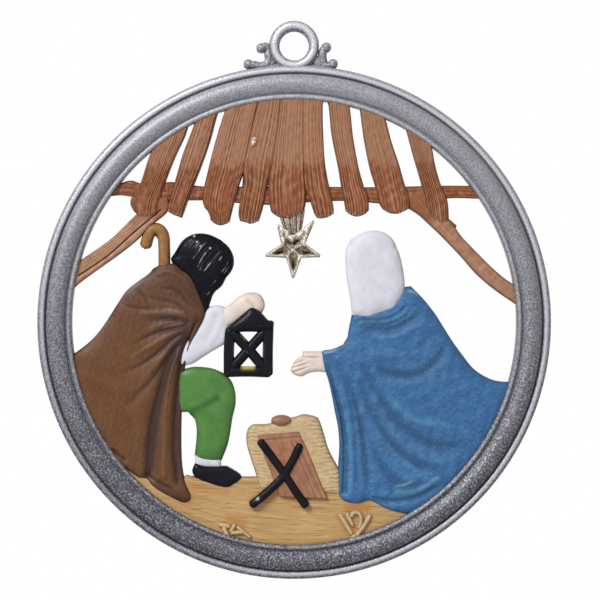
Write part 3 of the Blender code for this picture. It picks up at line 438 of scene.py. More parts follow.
# Each paint: its slot in the record, its material, its colour or the property that holds it, and its marks
PAINTS = {
    "roof": dict(
        slot="roof_brown", name="roof_enamel", colour="roof", wash_and_shade=(0.100, 0.034, 0.018),
        worn_and_highlight=(0.52, 0.29, 0.17), mottle=0.06, mottle_size=2.0,
        fade=((0.335, 0.163, 0.093), 20.4, 22.6, 0.95, 0.55),
        streaks=(0.20, 8.0, (0.140, 0.038, 0.015), (0.46, 0.225, 0.115), 0.66),
        flecks=(0.20, 0.81, (0.66, 0.48, 0.36), 0.35), glint=((0.82, 0.70, 0.60), 1.0), wash_and_shade_share=0.8,
        worn_and_highlight_share=0.75, rim_share=0.75, grain=0.03,
    ),
    "brace": dict(
        slot="roof_brown", name="brace_enamel", colour=(0.36, 0.182, 0.105), wash_and_shade=(0.085, 0.042, 0.032),
        worn_and_highlight=(0.62, 0.44, 0.32), mottle=0.14, fade=((0.255, 0.090, 0.038), 12.5, 16.0, 1.0, 0.75),
        streaks=(3.0, 0.22, (0.30, 0.14, 0.080), (0.52, 0.30, 0.19), 0.5),
        flecks=(0.24, 0.79, (0.74, 0.58, 0.46), 0.5), rim_share=0.7, grain=0.025,
    ),
    "knot": dict(
        slot="roof_brown", name="knot_enamel", colour=(0.50, 0.32, 0.23), wash_and_shade=(0.22, 0.10, 0.05),
        worn_and_highlight=(0.85, 0.75, 0.68), mottle=0.3, flecks=(0.3, 0.55, (0.82, 0.74, 0.68), 0.8),
    ),
    "crook": dict(
        slot="crook_brown", name="crook_enamel", colour="crook", wash_and_shade=(0.100, 0.045, 0.025),
        worn_and_highlight=(0.50, 0.28, 0.13), mottle=0.22, mottle_size=0.9,
        second=(1.2, 0.52, (0.25, 0.155, 0.055), 0.5),
    ),
    "cloak_brown": dict(
        slot="cloak_brown", name="brown_cloak_enamel", colour="cloak_brown", wash_and_shade=(0.040, 0.021, 0.018),
        worn_and_highlight=(0.26, 0.135, 0.070), mottle=0.12, mottle_size=2.2,
        fade=((0.095, 0.043, 0.026), -5.0, 6.0, 0.8, 0.0), second=(4.5, 0.54, (0.120, 0.056, 0.030), 0.5),
        streaks=(0.16, 1.6, (0.095, 0.038, 0.018), (0.215, 0.100, 0.042), 0.3),
        stain=((0.036, 0.020, 0.019), 0.85), glint=((0.44, 0.42, 0.42), 0.7),
        flecks=(0.17, 0.79, (0.36, 0.22, 0.15), 0.3), wash_and_shade_share=0.6, worn_and_highlight_share=0.3, rim_share=0.7,
    ),
    "cloak_blue": dict(
        slot="cloak_blue", name="blue_cloak_enamel", colour="cloak_blue", wash_and_shade=(0.024, 0.066, 0.150),
        worn_and_highlight=(0.100, 0.270, 0.460), mottle=0.14, mottle_size=1.6,
        streaks=(0.14, 0.45, (0.024, 0.072, 0.170), (0.085, 0.220, 0.400), 0.45),
        stain=((0.026, 0.066, 0.130), 0.8), glint=((0.42, 0.55, 0.68), 0.8),
        flecks=(0.12, 0.64, (0.15, 0.29, 0.45), 0.35), wash_and_shade_share=0.6, worn_and_highlight_share=0.65, grain=0.025,
    ),
    "white": dict(
        slot="white", name="white_enamel", colour="white", wash_and_shade=(0.46, 0.46, 0.56),
        worn_and_highlight=(0.80, 0.80, 0.86), mottle=0.045, mottle_size=1.5, roughness=0.55, wash_and_shade_share=0.5,
        rim_share=0.2,
    ),
    # Its pale strands, dots and flecks are painted highlights
    "hair": dict(
        slot="black", name="hair_enamel", colour="black", wash_and_shade=(0.002, 0.002, 0.004),
        worn_and_highlight=(0.018, 0.018, 0.024), roughness=0.32, mottle=0.3, stain=((0.70, 0.70, 0.76), 1.1),
        glint=((0.80, 0.80, 0.84), 1.0), flecks=(0.14, 0.77, (0.16, 0.16, 0.20), 0.5), worn_and_highlight_share=0.3,
        rim_share=0.2, specular=0.08,
    ),
    # Its flecks and glints are painted highlights, and its yellow marks the lantern's painted glow
    "black": dict(
        slot="black", name="black_enamel", colour="black", wash_and_shade=(0.003, 0.003, 0.005),
        worn_and_highlight=(0.014, 0.014, 0.018), roughness=0.30, mottle=0.3, stain=((0.70, 0.56, 0.12), 0.9),
        glint=((0.66, 0.66, 0.70), 0.9), flecks=(0.18, 0.83, (0.50, 0.50, 0.54), 0.5), worn_and_highlight_share=0.3,
        rim_share=0.2, specular=0.12, grain=0.025,
    ),
    "green": dict(
        slot="green", name="green_enamel", colour="green", wash_and_shade=(0.018, 0.070, 0.016),
        worn_and_highlight=(0.160, 0.380, 0.110), mottle=0.12, mottle_size=1.8,
        flecks=(0.18, 0.82, (0.62, 0.80, 0.52), 0.6), roughness=0.38, rim_share=0.45,
    ),
    "skin": dict(
        slot="skin", name="flesh_enamel", colour="skin", wash_and_shade=(0.47, 0.33, 0.26), worn_and_highlight=(0.84, 0.72, 0.64),
        mottle=0.06, roughness=0.5, wash_and_shade_share=0.8, rim_share=0.35,
    ),
    "straw": dict(
        slot="straw", name="straw_enamel", colour="straw", wash_and_shade=(0.215, 0.110, 0.045),
        worn_and_highlight=(0.78, 0.58, 0.34), mottle=0.06, mottle_size=3.0,
        second=(5.0, 0.58, (0.48, 0.270, 0.100), 0.3),
        streaks=(8.0, 0.26, (0.30, 0.160, 0.066), (0.66, 0.46, 0.23), 0.6), wash_and_shade_share=0.7,
        worn_and_highlight_share=0.3, stain=((0.43, 0.165, 0.045), 0.75), flecks=(0.24, 0.80, (0.85, 0.70, 0.46), 0.4),
        grain=0.03,
    ),
    "hay": dict(
        slot="straw", name="hay_enamel", colour=(0.53, 0.385, 0.213), wash_and_shade=(0.200, 0.110, 0.050),
        worn_and_highlight=(0.84, 0.70, 0.46), mottle=0.12, mottle_size=0.8,
        second=(2.0, 0.60, (0.58, 0.36, 0.155), 0.5),
        streaks=(2.4, 0.24, (0.42, 0.275, 0.135), (0.74, 0.60, 0.37), 0.35),
        stain=((0.300, 0.170, 0.075), 0.8), rim_share=0.6, grain=0.03,
    ),
    "panel": dict(
        slot="panel_brown", name="board_enamel", colour="panel", wash_and_shade=(0.120, 0.050, 0.030),
        worn_and_highlight=(0.56, 0.36, 0.26), mottle=0.16,
        streaks=(0.35, 3.0, (0.21, 0.085, 0.050), (0.44, 0.23, 0.145), 0.4),
    ),
}


def make_finishes(colours):
    """Every metal and paint, by name, with the record's slot that it is a finish of."""
    made = {
        "pewter": (pewter_finish("antique_pewter", colours.pewter), "pewter"),
        "gold": (gold_finish("rubbed_gold", colours.gold, (0.84, 0.76, 0.63)), "antique_gold"),
        "tail": (gold_finish("dull_gold", colours.tail, (0.62, 0.55, 0.47)), "antique_gold"),
    }
    for key, paint in PAINTS.items():
        marks = dict(paint)
        slot, colour = marks.pop("slot"), marks.pop("colour")
        if isinstance(colour, str):
            colour = getattr(colours, colour)
        made[key] = (enamel_finish(colour=colour, **marks), slot)
    return made


FINISHES = {}

# What the forms are marked with for their paint, and for the painted shade and highlights on it
MARKS = ("hollow", "ridge", "rim", "stain", "glint")


def unit(vector):
    length = np.linalg.norm(vector)
    return vector / length if length else vector


def smooth_line(points, steps=8):
    """A fine smooth line through the points, whose bends don't swing past them."""
    points = np.asarray(points, float)
    if len(points) == 2:
        return points
    padded = np.vstack([points[:1], points, points[-1:]])
    share = np.linspace(0.0, 1.0, steps, endpoint=False)[:, None]
    pieces = []
    for before, start, end, after in zip(padded, padded[1:], padded[2:], padded[3:]):
        reach = np.linalg.norm(end - start) / 3
        leave = start + unit(end - before) * reach
        arrive = end - unit(after - start) * reach
        rest = 1.0 - share
        pieces.append(
            rest**3 * start + 3 * rest**2 * share * leave + 3 * rest * share**2 * arrive + share**3 * end
        )
    return np.vstack([*pieces, points[-1:]])


def at_shares(line, shares):
    """The points at these shares of the line's length."""
    lengths = np.concatenate([[0.0], np.cumsum(np.linalg.norm(np.diff(line, axis=0), axis=1))])
    target = np.asarray(shares) * lengths[-1]
    return np.stack([np.interp(target, lengths, line[:, k]) for k in range(2)], axis=-1)


def line_length(line):
    return float(np.linalg.norm(np.diff(line, axis=0), axis=1).sum())


def nearest(points, line):
    """How far each point is from the line, at which share of its length, and on which side of it."""
    steps = np.diff(line, axis=0)
    lengths = np.linalg.norm(steps, axis=1)
    before = np.concatenate([[0.0], np.cumsum(lengths)])
    best = np.full(points.shape[:-1], np.inf)
    share = np.zeros_like(best)
    side = np.zeros_like(best)
    for start, step, length, gone in zip(line, steps, lengths, before):
        if length == 0.0:
            continue
        offset = points - start
        along = np.clip((offset[..., 0] * step[0] + offset[..., 1] * step[1]) / length**2, 0.0, 1.0)
        gap = np.hypot(offset[..., 0] - along * step[0], offset[..., 1] - along * step[1])
        closer = gap < best
        best = np.where(closer, gap, best)
        share = np.where(closer, (gone + along * length) / before[-1], share)
        side = np.where(closer, np.sign(offset[..., 0] * step[1] - offset[..., 1] * step[0]), side)
    return best, share, side


def spaced(count):
    """Shares from 0 to 1 that lie closer together at both ends, where a form turns over to its rim."""
    even = np.linspace(0.0, 1.0, count + 1)
    return 0.55 * even + 0.45 * (1.0 - np.cos(np.pi * even)) / 2


def blurred(field, passes):
    for _ in range(passes):
        for axis in (0, 1):
            margins = [(1, 1) if k == axis else (0, 0) for k in (0, 1)]
            edged = np.moveaxis(np.pad(field, margins, mode="edge"), axis, 0)
            field = np.moveaxis((edged[:-2] + 2.0 * edged[1:-1] + edged[2:]) / 4.0, 0, axis)
    return field


def ripples(points, size, seed, count=8):
    """Gentle uneven waves of about that size, from -1 to 1."""
    random = np.random.default_rng(seed)
    total = np.zeros(points.shape[:-1])
    for _ in range(count):
        turn = random.uniform(0.0, 2.0 * np.pi)
        phase = random.uniform(0.0, 2.0 * np.pi)
        wave = size * random.uniform(0.7, 1.5)
        run = points[..., 0] * np.cos(turn) + points[..., 1] * np.sin(turn)
        total += np.sin(2.0 * np.pi * run / wave + phase)
    return total / math.sqrt(2.0 * count)


class Drawing:
    """Turns the drawn points into millimetres for this ring."""

    def __init__(self, sizes):
        self.width = mm(sizes.bead_width + sizes.band_width + sizes.lip_width + 2 * sizes.groove_width)
        self.inner = RING_RADIUS - self.width
        self.scale = 2 * self.inner / DRAWN_OPENING
        self.tuck = self.inner + 0.55 * mm(sizes.lip_width)
        self.pitch = mm(sizes.relief_pitch)
        self.fold_depth = sizes.fold_depth

    def points(self, drawn):
        return np.asarray(drawn, float) * self.scale

    def at_ring(self, degrees):
        reach = self.tuck / self.scale
        return (reach * math.cos(math.radians(degrees)), reach * math.sin(math.radians(degrees)))

    def under_top(self, x):
        reach = self.tuck / self.scale
        return (x, math.sqrt(reach**2 - x**2))

    def ring_arc(self, start, end, count):
        return [self.at_ring(start + (end - start) * i / (count - 1)) for i in range(count)]

    def outline(self, left, right, top=(), bottom=()):
        """The four sides of a form: left and right run downwards, top and bottom are points between them."""
        return {
            "left": self.points(left),
            "right": self.points(right),
            "top": self.points([left[0], *top, right[0]]),
            "bottom": self.points([left[-1], *bottom, right[-1]]),
        }

    def bar(self, path, width):
        """The four sides of a bar along a path, with round ends."""
        line = smooth_line(self.points(path))
        centres = at_shares(line, np.linspace(0.0, 1.0, 6 * len(path)))
        along = np.gradient(centres, axis=0)
        along /= np.linalg.norm(along, axis=1)[:, None]
        across = np.stack([along[:, 1], -along[:, 0]], axis=1) * width / 2
        left, right = centres - across, centres + across
        return {
            "left": left,
            "right": right,
            "top": self.round_end(left[0], right[0], -along[0]),
            "bottom": self.round_end(left[-1], right[-1], along[-1]),
        }

    @staticmethod
    def round_end(left, right, outwards):
        middle, reach = (left + right) / 2, np.linalg.norm(right - left) / 2
        sideways = (left - middle) / reach
        angles = np.linspace(0.0, np.pi, 9)[:, None]
        return middle + reach * (np.cos(angles) * sideways + 0.75 * np.sin(angles) * outwards)

    def oval(self, centre, width, height, turn=0.0):
        """The four sides of an oval."""
        middle = self.points(centre)
        tilt = math.radians(turn)

        def arc(start, end):
            angles = np.radians(np.linspace(start, end, 9))
            x, z = width / 2 * np.cos(angles), height / 2 * np.sin(angles)
            turned = [x * math.cos(tilt) - z * math.sin(tilt), x * math.sin(tilt) + z * math.cos(tilt)]
            return middle + np.stack(turned, axis=1)

        return {"left": arc(135, 225), "right": arc(45, -45), "top": arc(135, 45), "bottom": arc(225, 315)}

    def fold(self, depth, width, *drawn, start=0.15, end=0.15, lean=1.0):
        """A fold along a smooth line, sunk by that depth, or raised where it is negative.

        It fades out within these shares of its length, and is lean times as wide on its right-hand side.
        """
        return depth * self.fold_depth, width, smooth_line(self.points(drawn)), start, end, lean


def painted(*folds):
    """A mark along the folds' lines, as strong as their depths say: stains, painted shadows, painted
    highlights and a painted glow are made with it.
    """
    return lambda points, u, v, size: np.clip(-fold_field(points, folds), 0.0, 1.0)


def fold_field(points, folds):
    """The height that the folds add, which is mostly negative."""
    total = np.zeros(points.shape[:-1])
    for depth, width, line, start, end, lean in folds:
        gap, share, side = nearest(points, line)
        wide = np.where(side > 0, width * lean, width)
        strength = np.ones_like(gap)
        if start:
            strength *= np.clip(share / start, 0.0, 1.0) ** 0.7
        if end:
            strength *= np.clip((1.0 - share) / end, 0.0, 1.0) ** 0.7
        total -= depth * strength * np.exp(-np.abs(gap / wide) ** 1.6)
    return total


def relief(
    name,
    paint,
    drawing,
    sides,
    crest,
    edge,
    shoulder,
    folds=(),
    carving=None,
    stain=None,
    glint=None,
    pitch=None,
    soften=4,
):
    """A closed form in relief, with its hollows, its crests and its rim marked for the paint.

    crest is the height of its top and edge that of its rim, and it turns over from one to the other within
    the shoulder. carving(points, u, v, size) adds to the height. stain and glint, called in
    the same way, mark where the paint carries stains, painted shadows, painted highlights and a painted
    glow, and where it carries painted highlights and chipped paint.
    """
    pitch_across, pitch_down = pitch or (drawing.pitch, drawing.pitch)
    lines = {key: smooth_line(value) for key, value in sides.items()}
    middle = np.linalg.norm(at_shares(lines["right"], [0.5]) - at_shares(lines["left"], [0.5]))
    width = max(line_length(lines["top"]), line_length(lines["bottom"]), float(middle))
    tall = np.linalg.norm(at_shares(lines["bottom"], [0.5]) - at_shares(lines["top"], [0.5]))
    length = max(line_length(lines["left"]), line_length(lines["right"]), float(tall))
    columns = max(8, round(width / pitch_across))
    rows = max(8, round(length / pitch_down))
    across, down = spaced(columns), spaced(rows)
    top, bottom = (at_shares(lines[side], across) for side in ("top", "bottom"))
    left, right = (at_shares(lines[side], down) for side in ("left", "right"))
    u, v = across[None, :, None], down[:, None, None]
    points = (1 - v) * top[None] + v * bottom[None] + (1 - u) * left[:, None] + u * right[:, None]
    points -= (1 - u) * ((1 - v) * top[0] + v * bottom[0]) + u * ((1 - v) * top[-1] + v * bottom[-1])

    sharpness = 6.0 / shoulder
    gaps = [nearest(points, lines[side])[0] for side in ("left", "right", "top", "bottom")]
    near = -np.log(sum(np.exp(-sharpness * gap) for gap in gaps)) / sharpness
    near = np.clip(near, 0.0, None)
    inset = 1.0 - np.clip(near / shoulder, 0.0, 1.0)
    roundness = np.sqrt(1.0 - inset**2)
    inner = blurred(roundness, soften)
    roundness = np.where(inset < 0.75, inner, roundness)
    u, v = u[..., 0] + 0.0 * v[..., 0], v[..., 0] + 0.0 * u[..., 0]
    detail = fold_field(points, folds)
    size = (width, length)
    if carving:
        detail = detail + carving(points, u, v, size)
    height = edge + (crest - edge) * roundness + detail * np.clip(1.6 * roundness, 0.0, 1.0)
    # The carving's hollows and crests, for washes and painted shade, and for rubbed paint and painted
    # highlights
    close = detail - blurred(detail, CLOSE_BLUR)
    broad = detail - blurred(detail, BROAD_BLUR)
    hollow = np.clip(-close / 0.07, 0.0, 1.0) * 0.6 + np.clip(-broad / 0.25, 0.0, 1.0) * 0.6
    ridge = np.clip(close / 0.06, 0.0, 1.0)
    # The rim of each form, for washes and painted shade along its edge
    rim = np.exp(-((np.minimum.reduce(gaps) / min(0.22, 0.35 * shoulder)) ** 2))
    stain_and_light_field, pale = (mark(points, u, v, size) if mark else np.zeros_like(rim) for mark in (stain, glint))

    shape = bmesh.new()
    bmesh.ops.create_grid(shape, x_segments=columns, y_segments=rows, size=0.5)
    marks = {key: shape.verts.layers.float.new(key) for key in MARKS}
    along = shape.verts.layers.float_vector.new("along")
    fields = dict(zip(MARKS, (np.clip(hollow, 0.0, 1.0), ridge, rim, stain_and_light_field, pale)))
    for vertex in shape.verts:
        i = round((vertex.co.x + 0.5) * columns)
        j = round((0.5 - vertex.co.y) * rows)
        vertex[along] = (u[j, i] * width, v[j, i] * length, 0.0)
        for key, layer in marks.items():
            vertex[layer] = fields[key][j, i]
        vertex.co = place(points[j, i, 0], height[j, i], points[j, i, 1])
    close_back(shape)
    return add_piece(name, shape, paint)


def close_back(shape):
    """Walls from the surface's rim to the slab, and a flat back between them."""
    rim = [item for item in shape.edges if item.is_boundary]
    walls = bmesh.ops.extrude_edge_only(shape, edges=rim)["geom"]
    for item in walls:
        if isinstance(item, bmesh.types.BMVert):
            item.co.y = place(0, WALL_START, 0)[1]
    back_rim = [item for item in walls if isinstance(item, bmesh.types.BMEdge) and item.is_boundary]
    bmesh.ops.contextual_create(shape, geom=back_rim)


def add_piece(name, shape, paint, smooth=True):
    """Makes an object from the shape, which then rides on the casting and takes its paint."""
    bmesh.ops.remove_doubles(shape, verts=shape.verts, dist=MERGED)
    bmesh.ops.recalc_face_normals(shape, faces=shape.faces)
    mesh = bpy.data.meshes.new(name)
    shape.to_mesh(mesh)
    shape.free()
    if smooth:
        mesh.shade_smooth()
        mesh.set_sharp_from_angle(angle=math.radians(SHARP_ANGLE))
    made = bpy.data.objects.new(name, mesh)
    bpy.context.scene.collection.objects.link(made)
    material, slot = FINISHES[paint]
    mesh.materials.append(material)
    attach(made, "root")
    return made


def add_bar(name, paint, drawing, path, width, crest, edge, **marks):
    """A round-topped bar along a path."""
    sides = drawing.bar(path, width)
    return relief(name, paint, drawing, sides, crest, edge, width / 2, pitch=(0.09, 0.16), soften=2, **marks)


def arch(start, end, foot, crest, count, skew=0.0):
    """Points of a rounded moulding between two radii. A skew above 0 moves its crest towards the second."""
    middle, reach = (start + end) / 2, (start - end) / 2
    points = []
    for i in range(count):
        share = math.cos(math.pi * i / (count - 1))
        rise = (1.0 - abs(share) ** 2.0) ** 0.5
        points.append((middle + reach * (share - skew * (1.0 - share**2)), foot + (crest - foot) * rise))
    return points


def crown(start, end, foot, crest, count):
    """Points of a gently domed band between two radii."""
    middle, reach = (start + end) / 2, (start - end) / 2
    shares = [1.0 - 2.0 * i / (count - 1) for i in range(count)]
    return [(middle + reach * share, crest - (crest - foot) * share**2) for share in shares]


def turned(name, paint, profile, centre, steps, marks=None):
    """Turns a profile of (radius, height) points, outer edge first, about the viewing axis."""
    shape = bmesh.new()
    layers = {key: shape.verts.layers.float.new(key) for key in MARKS}
    corners = []
    walls = [(profile[-1][0], WALL_START), (profile[0][0], WALL_START)]
    for radius, height in [*profile, *walls]:
        corner = shape.verts.new(place(centre[0] + radius, height, centre[1]))
        for key, mark in (marks or {}).items():
            corner[layers[key]] = mark(radius, height)
        corners.append(corner)
    loop = [shape.edges.new(pair) for pair in zip(corners, corners[1:] + corners[:1])]
    bmesh.ops.spin(
        shape,
        geom=corners + loop,
        cent=place(centre[0], 0, centre[1]),
        axis=(0, 1, 0),
        angle=2 * math.pi,
        steps=steps,
        use_merge=True,
    )
    return add_piece(name, shape, paint)


def model_slab():
    """The casting's flat back: the frame's own back face, a little inside its outline, given a thickness."""
    shape = bmesh.new()
    shape.from_mesh(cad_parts[CAST].data)
    for key in MARKS:
        shape.verts.layers.float.new(key)
    bmesh.ops.remove_doubles(shape, verts=shape.verts, dist=MERGED)
    front = [item for item in shape.faces if min(corner.co.y for corner in item.verts) < BACK_Y - FLATNESS]
    bmesh.ops.delete(shape, geom=front, context="FACES")
    shifts = {}
    for item in shape.edges:
        if not item.is_boundary:
            continue
        start, end = item.verts
        inwards = (end.co - start.co).cross(Vector((0, 1, 0))).normalized()
        if inwards.dot(item.link_faces[0].calc_center_median() - start.co) < 0:
            inwards.negate()
        for corner in (start, end):
            shifts[corner] = shifts.get(corner, Vector()) + inwards
    for corner, shift in shifts.items():
        if shift.length > 0.1:
            corner.co += shift.normalized() * SLAB_INSET * MM
    raised = bmesh.ops.extrude_face_region(shape, geom=list(shape.faces))["geom"]
    lifted = [item for item in raised if isinstance(item, bmesh.types.BMVert)]
    bmesh.ops.translate(shape, verts=lifted, vec=(0, -SLAB_DEPTH * MM, 0))
    slab = add_piece("cast_back", shape, "pewter", smooth=False)
    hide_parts(CAST)


def model_ring(sizes, drawing):
    """The moulded ring: a bead, a broad band and a thin lip, with grooves between them."""
    bead_inner = RING_RADIUS - mm(sizes.bead_width)
    band_outer = bead_inner - mm(sizes.groove_width)
    band_inner = band_outer - mm(sizes.band_width)
    lip_outer = band_inner - mm(sizes.groove_width)
    profile = arch(RING_RADIUS, bead_inner, GROOVE_FLOOR, BEAD_CREST, 17, skew=0.25)
    profile += [(band_outer, GROOVE_FLOOR), *crown(band_outer, band_inner, BAND_EDGE, BAND_CREST, 25)]
    profile += [(band_inner, LIP_FLOOR), *arch(lip_outer, drawing.inner, LIP_FLOOR, LIP_CREST, 13)]
    # Where the painted highlights sit: on the bead, off its middle towards the band, and on the lip
    bead = RING_RADIUS - 0.62 * mm(sizes.bead_width)
    lip = (lip_outer + drawing.inner) / 2
    groove = (bead_inner + band_outer) / 2

    def hollow(radius, height):
        return 0.35 * math.exp(-(((radius - groove) / 0.16) ** 2))

    # Painted highlights on the bead and on the lip
    def ridge(radius, height):
        bead_highlight = 1.1 * math.exp(-(((radius - bead) / 0.26) ** 2))
        return bead_highlight + 0.35 * math.exp(-(((radius - lip) / 0.16) ** 2))

    # Painted shade on the band's outer slope, which the pewter darkens towards the ring's foot
    def outer(radius, height):
        return min(1.0, max(0.0, (radius - band_inner - 0.2) / 2.0)) if radius < band_outer else 0.0

    turned("ring", "pewter", profile, (0, 0), RING_STEPS, {"hollow": hollow, "ridge": ridge, "rim": outer})


def model_eye(drawing):
    """The hanging eye, a thick round loop, and an S-shaped scroll with balls on each side of it."""
    profile = arch(EYE_RADIUS, EYE_HOLE, 0.9, 2.0, 25)

    # A painted highlight along the crest of the loop
    def ridge(radius, height):
        return max(0.0, (height - 1.60) / 0.30)

    # A painted shadow low on the inside of the loop
    def hollow(radius, height):
        return max(0.0, (1.25 - height) / 0.5) if radius < 2.7 else 0.0

    def mottled(radius, height):
        return max(0.0, (2.05 - height) / 0.6)

    def all_over(points, u, v, size):
        return np.full(u.shape, 0.55)

    marks = {"hollow": hollow, "ridge": ridge, "stain": mottled}
    turned("hanging_eye", "pewter", profile, (0, EYE_RISE), EYE_STEPS, marks)
    left = [(-4.5, 2.4), (-3.8, 2.6), (-3.5, 1.6), (-3.5, 0.5), (-4.4, -0.05), (-5.4, 0.1), (-6.3, 0.15)]
    right = [(4.4, 2.5), (3.9, 1.9), (3.85, 0.8), (4.2, 0.0), (5.2, 0.1)]

    def lifted(path):
        return [(x / drawing.scale, (RING_RADIUS + rise) / drawing.scale) for x, rise in path]

    for name, path, end_ball in (("left", left, (-6.25, 0.2)), ("right", right, (5.3, 0.25))):
        add_bar(f"scroll_{name}", "pewter", drawing, lifted(path), 1.15, 1.55, edge=0.7, stain=all_over)
        for number, centre in enumerate((path[0], end_ball)):
            sides = drawing.oval(lifted([centre])[0], 1.35, 1.35)
            ball = f"scroll_{name}_ball_{number}"
            relief(ball, "pewter", drawing, sides, 1.8, 0.9, 0.68, stain=all_over, soften=1)
    for name, centre in (("left", (-3.2, 0.6)), ("right", (3.2, 0.5))):
        web = drawing.oval(lifted([centre])[0], 1.5, 1.7)
        relief(f"scroll_{name}_web", "pewter", drawing, web, 1.35, 0.9, 0.6, stain=all_over, soften=1)
    foot = lifted([(-4.4, -0.55), (-2.0, -0.3), (2.0, -0.3), (4.9, -0.55)])
    add_bar("scroll_foot", "pewter", drawing, foot, 1.2, 1.5, edge=0.7)


def board_grain(pitch, depth, seed):
    """Fine straight ridges and grooves, about that far apart, that run the length of a board."""
    random = np.random.default_rng(seed)
    waves = [
        (random.uniform(0.7, 1.5), random.uniform(0.0, 6.3), random.uniform(0.6, 1.0))
        for _ in range(4)
    ]

    def carve(points, u, v, size):
        sway = 0.10 * np.sin(v * size[1] / 2.3 + seed)
        total = np.zeros_like(u)
        for number, (often, phase, strength) in enumerate(waves):
            line = (1.0 - np.abs(np.sin(np.pi * often * (u * size[0] + sway) / pitch + phase))) ** 3
            total += strength * line * (1.0 if number % 2 else -1.0)
        return depth * total + 0.02 * ripples(points, 1.3, seed)

    return carve


def ragged_end(seed):
    """Where the paint is chipped along a plank's lower end."""

    def chips(points, u, v, size):
        end = np.clip(1.0 - (1.0 - v) * size[1] / 0.45, 0.0, 1.0)
        return end * np.clip(3.0 * ripples(points, 0.4, seed) - 0.2, 0.0, 1.0)

    return chips


def plank_outlines(drawing):
    """The roof's planks from left to right: left edge, right edge, and the points along the lower end."""
    top = drawing.under_top
    return (
        (
            [top(-19.1), (-19.95, 22.0), (-21.0, 18.8), (-22.2, 16.9), (-22.3, 16.0), (-21.8, 15.0)],
            [top(-14.3), (-14.9, 25.3), (-16.0, 23.0), (-17.2, 20.0), (-18.3, 16.8), (-18.8, 14.6)],
            [(-20.8, 14.3)],
        ),
        (
            [top(-13.4), (-13.9, 26.2), (-15.2, 22.8), (-16.2, 19.3), (-17.1, 16.3), (-17.4, 15.2)],
            [top(-10.2), (-10.6, 27.8), (-11.5, 24.5), (-12.8, 20.8), (-14.0, 17.8), (-15.3, 14.2)],
            [(-16.6, 14.7)],
        ),
        (
            [
                top(-9.2), (-9.7, 28.0), (-10.9, 24.0), (-11.9, 20.0), (-12.5, 17.0), (-12.2, 15.6),
                (-11.6, 14.9), (-11.4, 13.9),
            ],
            [
                top(-4.5), (-4.95, 29.5), (-5.9, 25.0), (-6.7, 21.0), (-7.5, 18.6), (-8.0, 16.9),
                (-8.8, 13.7),
            ],
            [(-10.8, 13.4), (-10.0, 13.2), (-9.3, 13.4)],
        ),
        (
            [
                top(-4.9), (-5.1, 29.2), (-6.2, 24.8), (-7.0, 21.0), (-6.85, 19.0), (-7.2, 17.5),
                (-7.6, 14.8), (-7.4, 13.8),
            ],
            [
                top(-1.7), (-1.8, 29.5), (-2.25, 25.0), (-2.9, 21.5), (-3.65, 18.4), (-4.3, 15.4),
                (-4.8, 13.8),
            ],
            [(-6.6, 13.6), (-6.0, 13.4), (-5.3, 13.6)],
        ),
        (
            [
                top(-2.0), (-2.2, 28.0), (-3.0, 22.0), (-3.5, 19.5), (-3.5, 17.5), (-3.2, 15.2),
                (-2.9, 14.8),
            ],
            [top(1.4), (1.45, 28.0), (1.55, 20.0), (1.65, 17.5), (1.55, 15.9), (1.2, 15.0)],
            [(-2.0, 14.3), (-0.5, 14.2), (0.6, 14.7)],
        ),
        (
            [top(1.1), (1.15, 27.0), (1.2, 22.0), (1.35, 18.6), (2.0, 17.0), (2.4, 15.8), (2.7, 14.9)],
            [top(4.0), (3.9, 29.0), (4.0, 25.0), (4.3, 21.0), (4.9, 18.0), (5.4, 15.5), (5.4, 14.8)],
            [(3.2, 14.2), (4.5, 14.3)],
        ),
        (
            [top(4.6), (4.8, 28.5), (5.1, 25.5), (6.0, 21.0), (6.4, 18.5), (6.8, 16.5), (7.0, 15.2)],
            [top(7.5), (7.7, 28.5), (8.0, 25.5), (8.7, 21.5), (9.3, 19.0), (10.1, 17.0), (10.2, 15.2)],
            [(7.6, 14.7), (8.6, 14.4), (9.6, 14.7)],
        ),
        (
            [top(8.9), (9.1, 28.0), (9.5, 25.0), (10.3, 21.0), (11.1, 18.3), (11.6, 16.2), (12.1, 15.4)],
            [
                top(12.3), (12.6, 27.2), (13.3, 24.5), (14.3, 21.5), (15.0, 19.0), (15.7, 16.8),
                (15.6, 15.4),
            ],
            [(13.0, 14.9), (14.2, 14.8)],
        ),
        (
            [top(15.1), (15.4, 25.8), (16.2, 22.8), (17.3, 19.0), (17.9, 16.5), (18.3, 14.6)],
            [top(18.6), (18.9, 23.2), (19.2, 21.5), (19.9, 19.0), (20.9, 16.5), (21.1, 14.1)],
            [(19.5, 13.6), (20.5, 13.7)],
        ),
    )


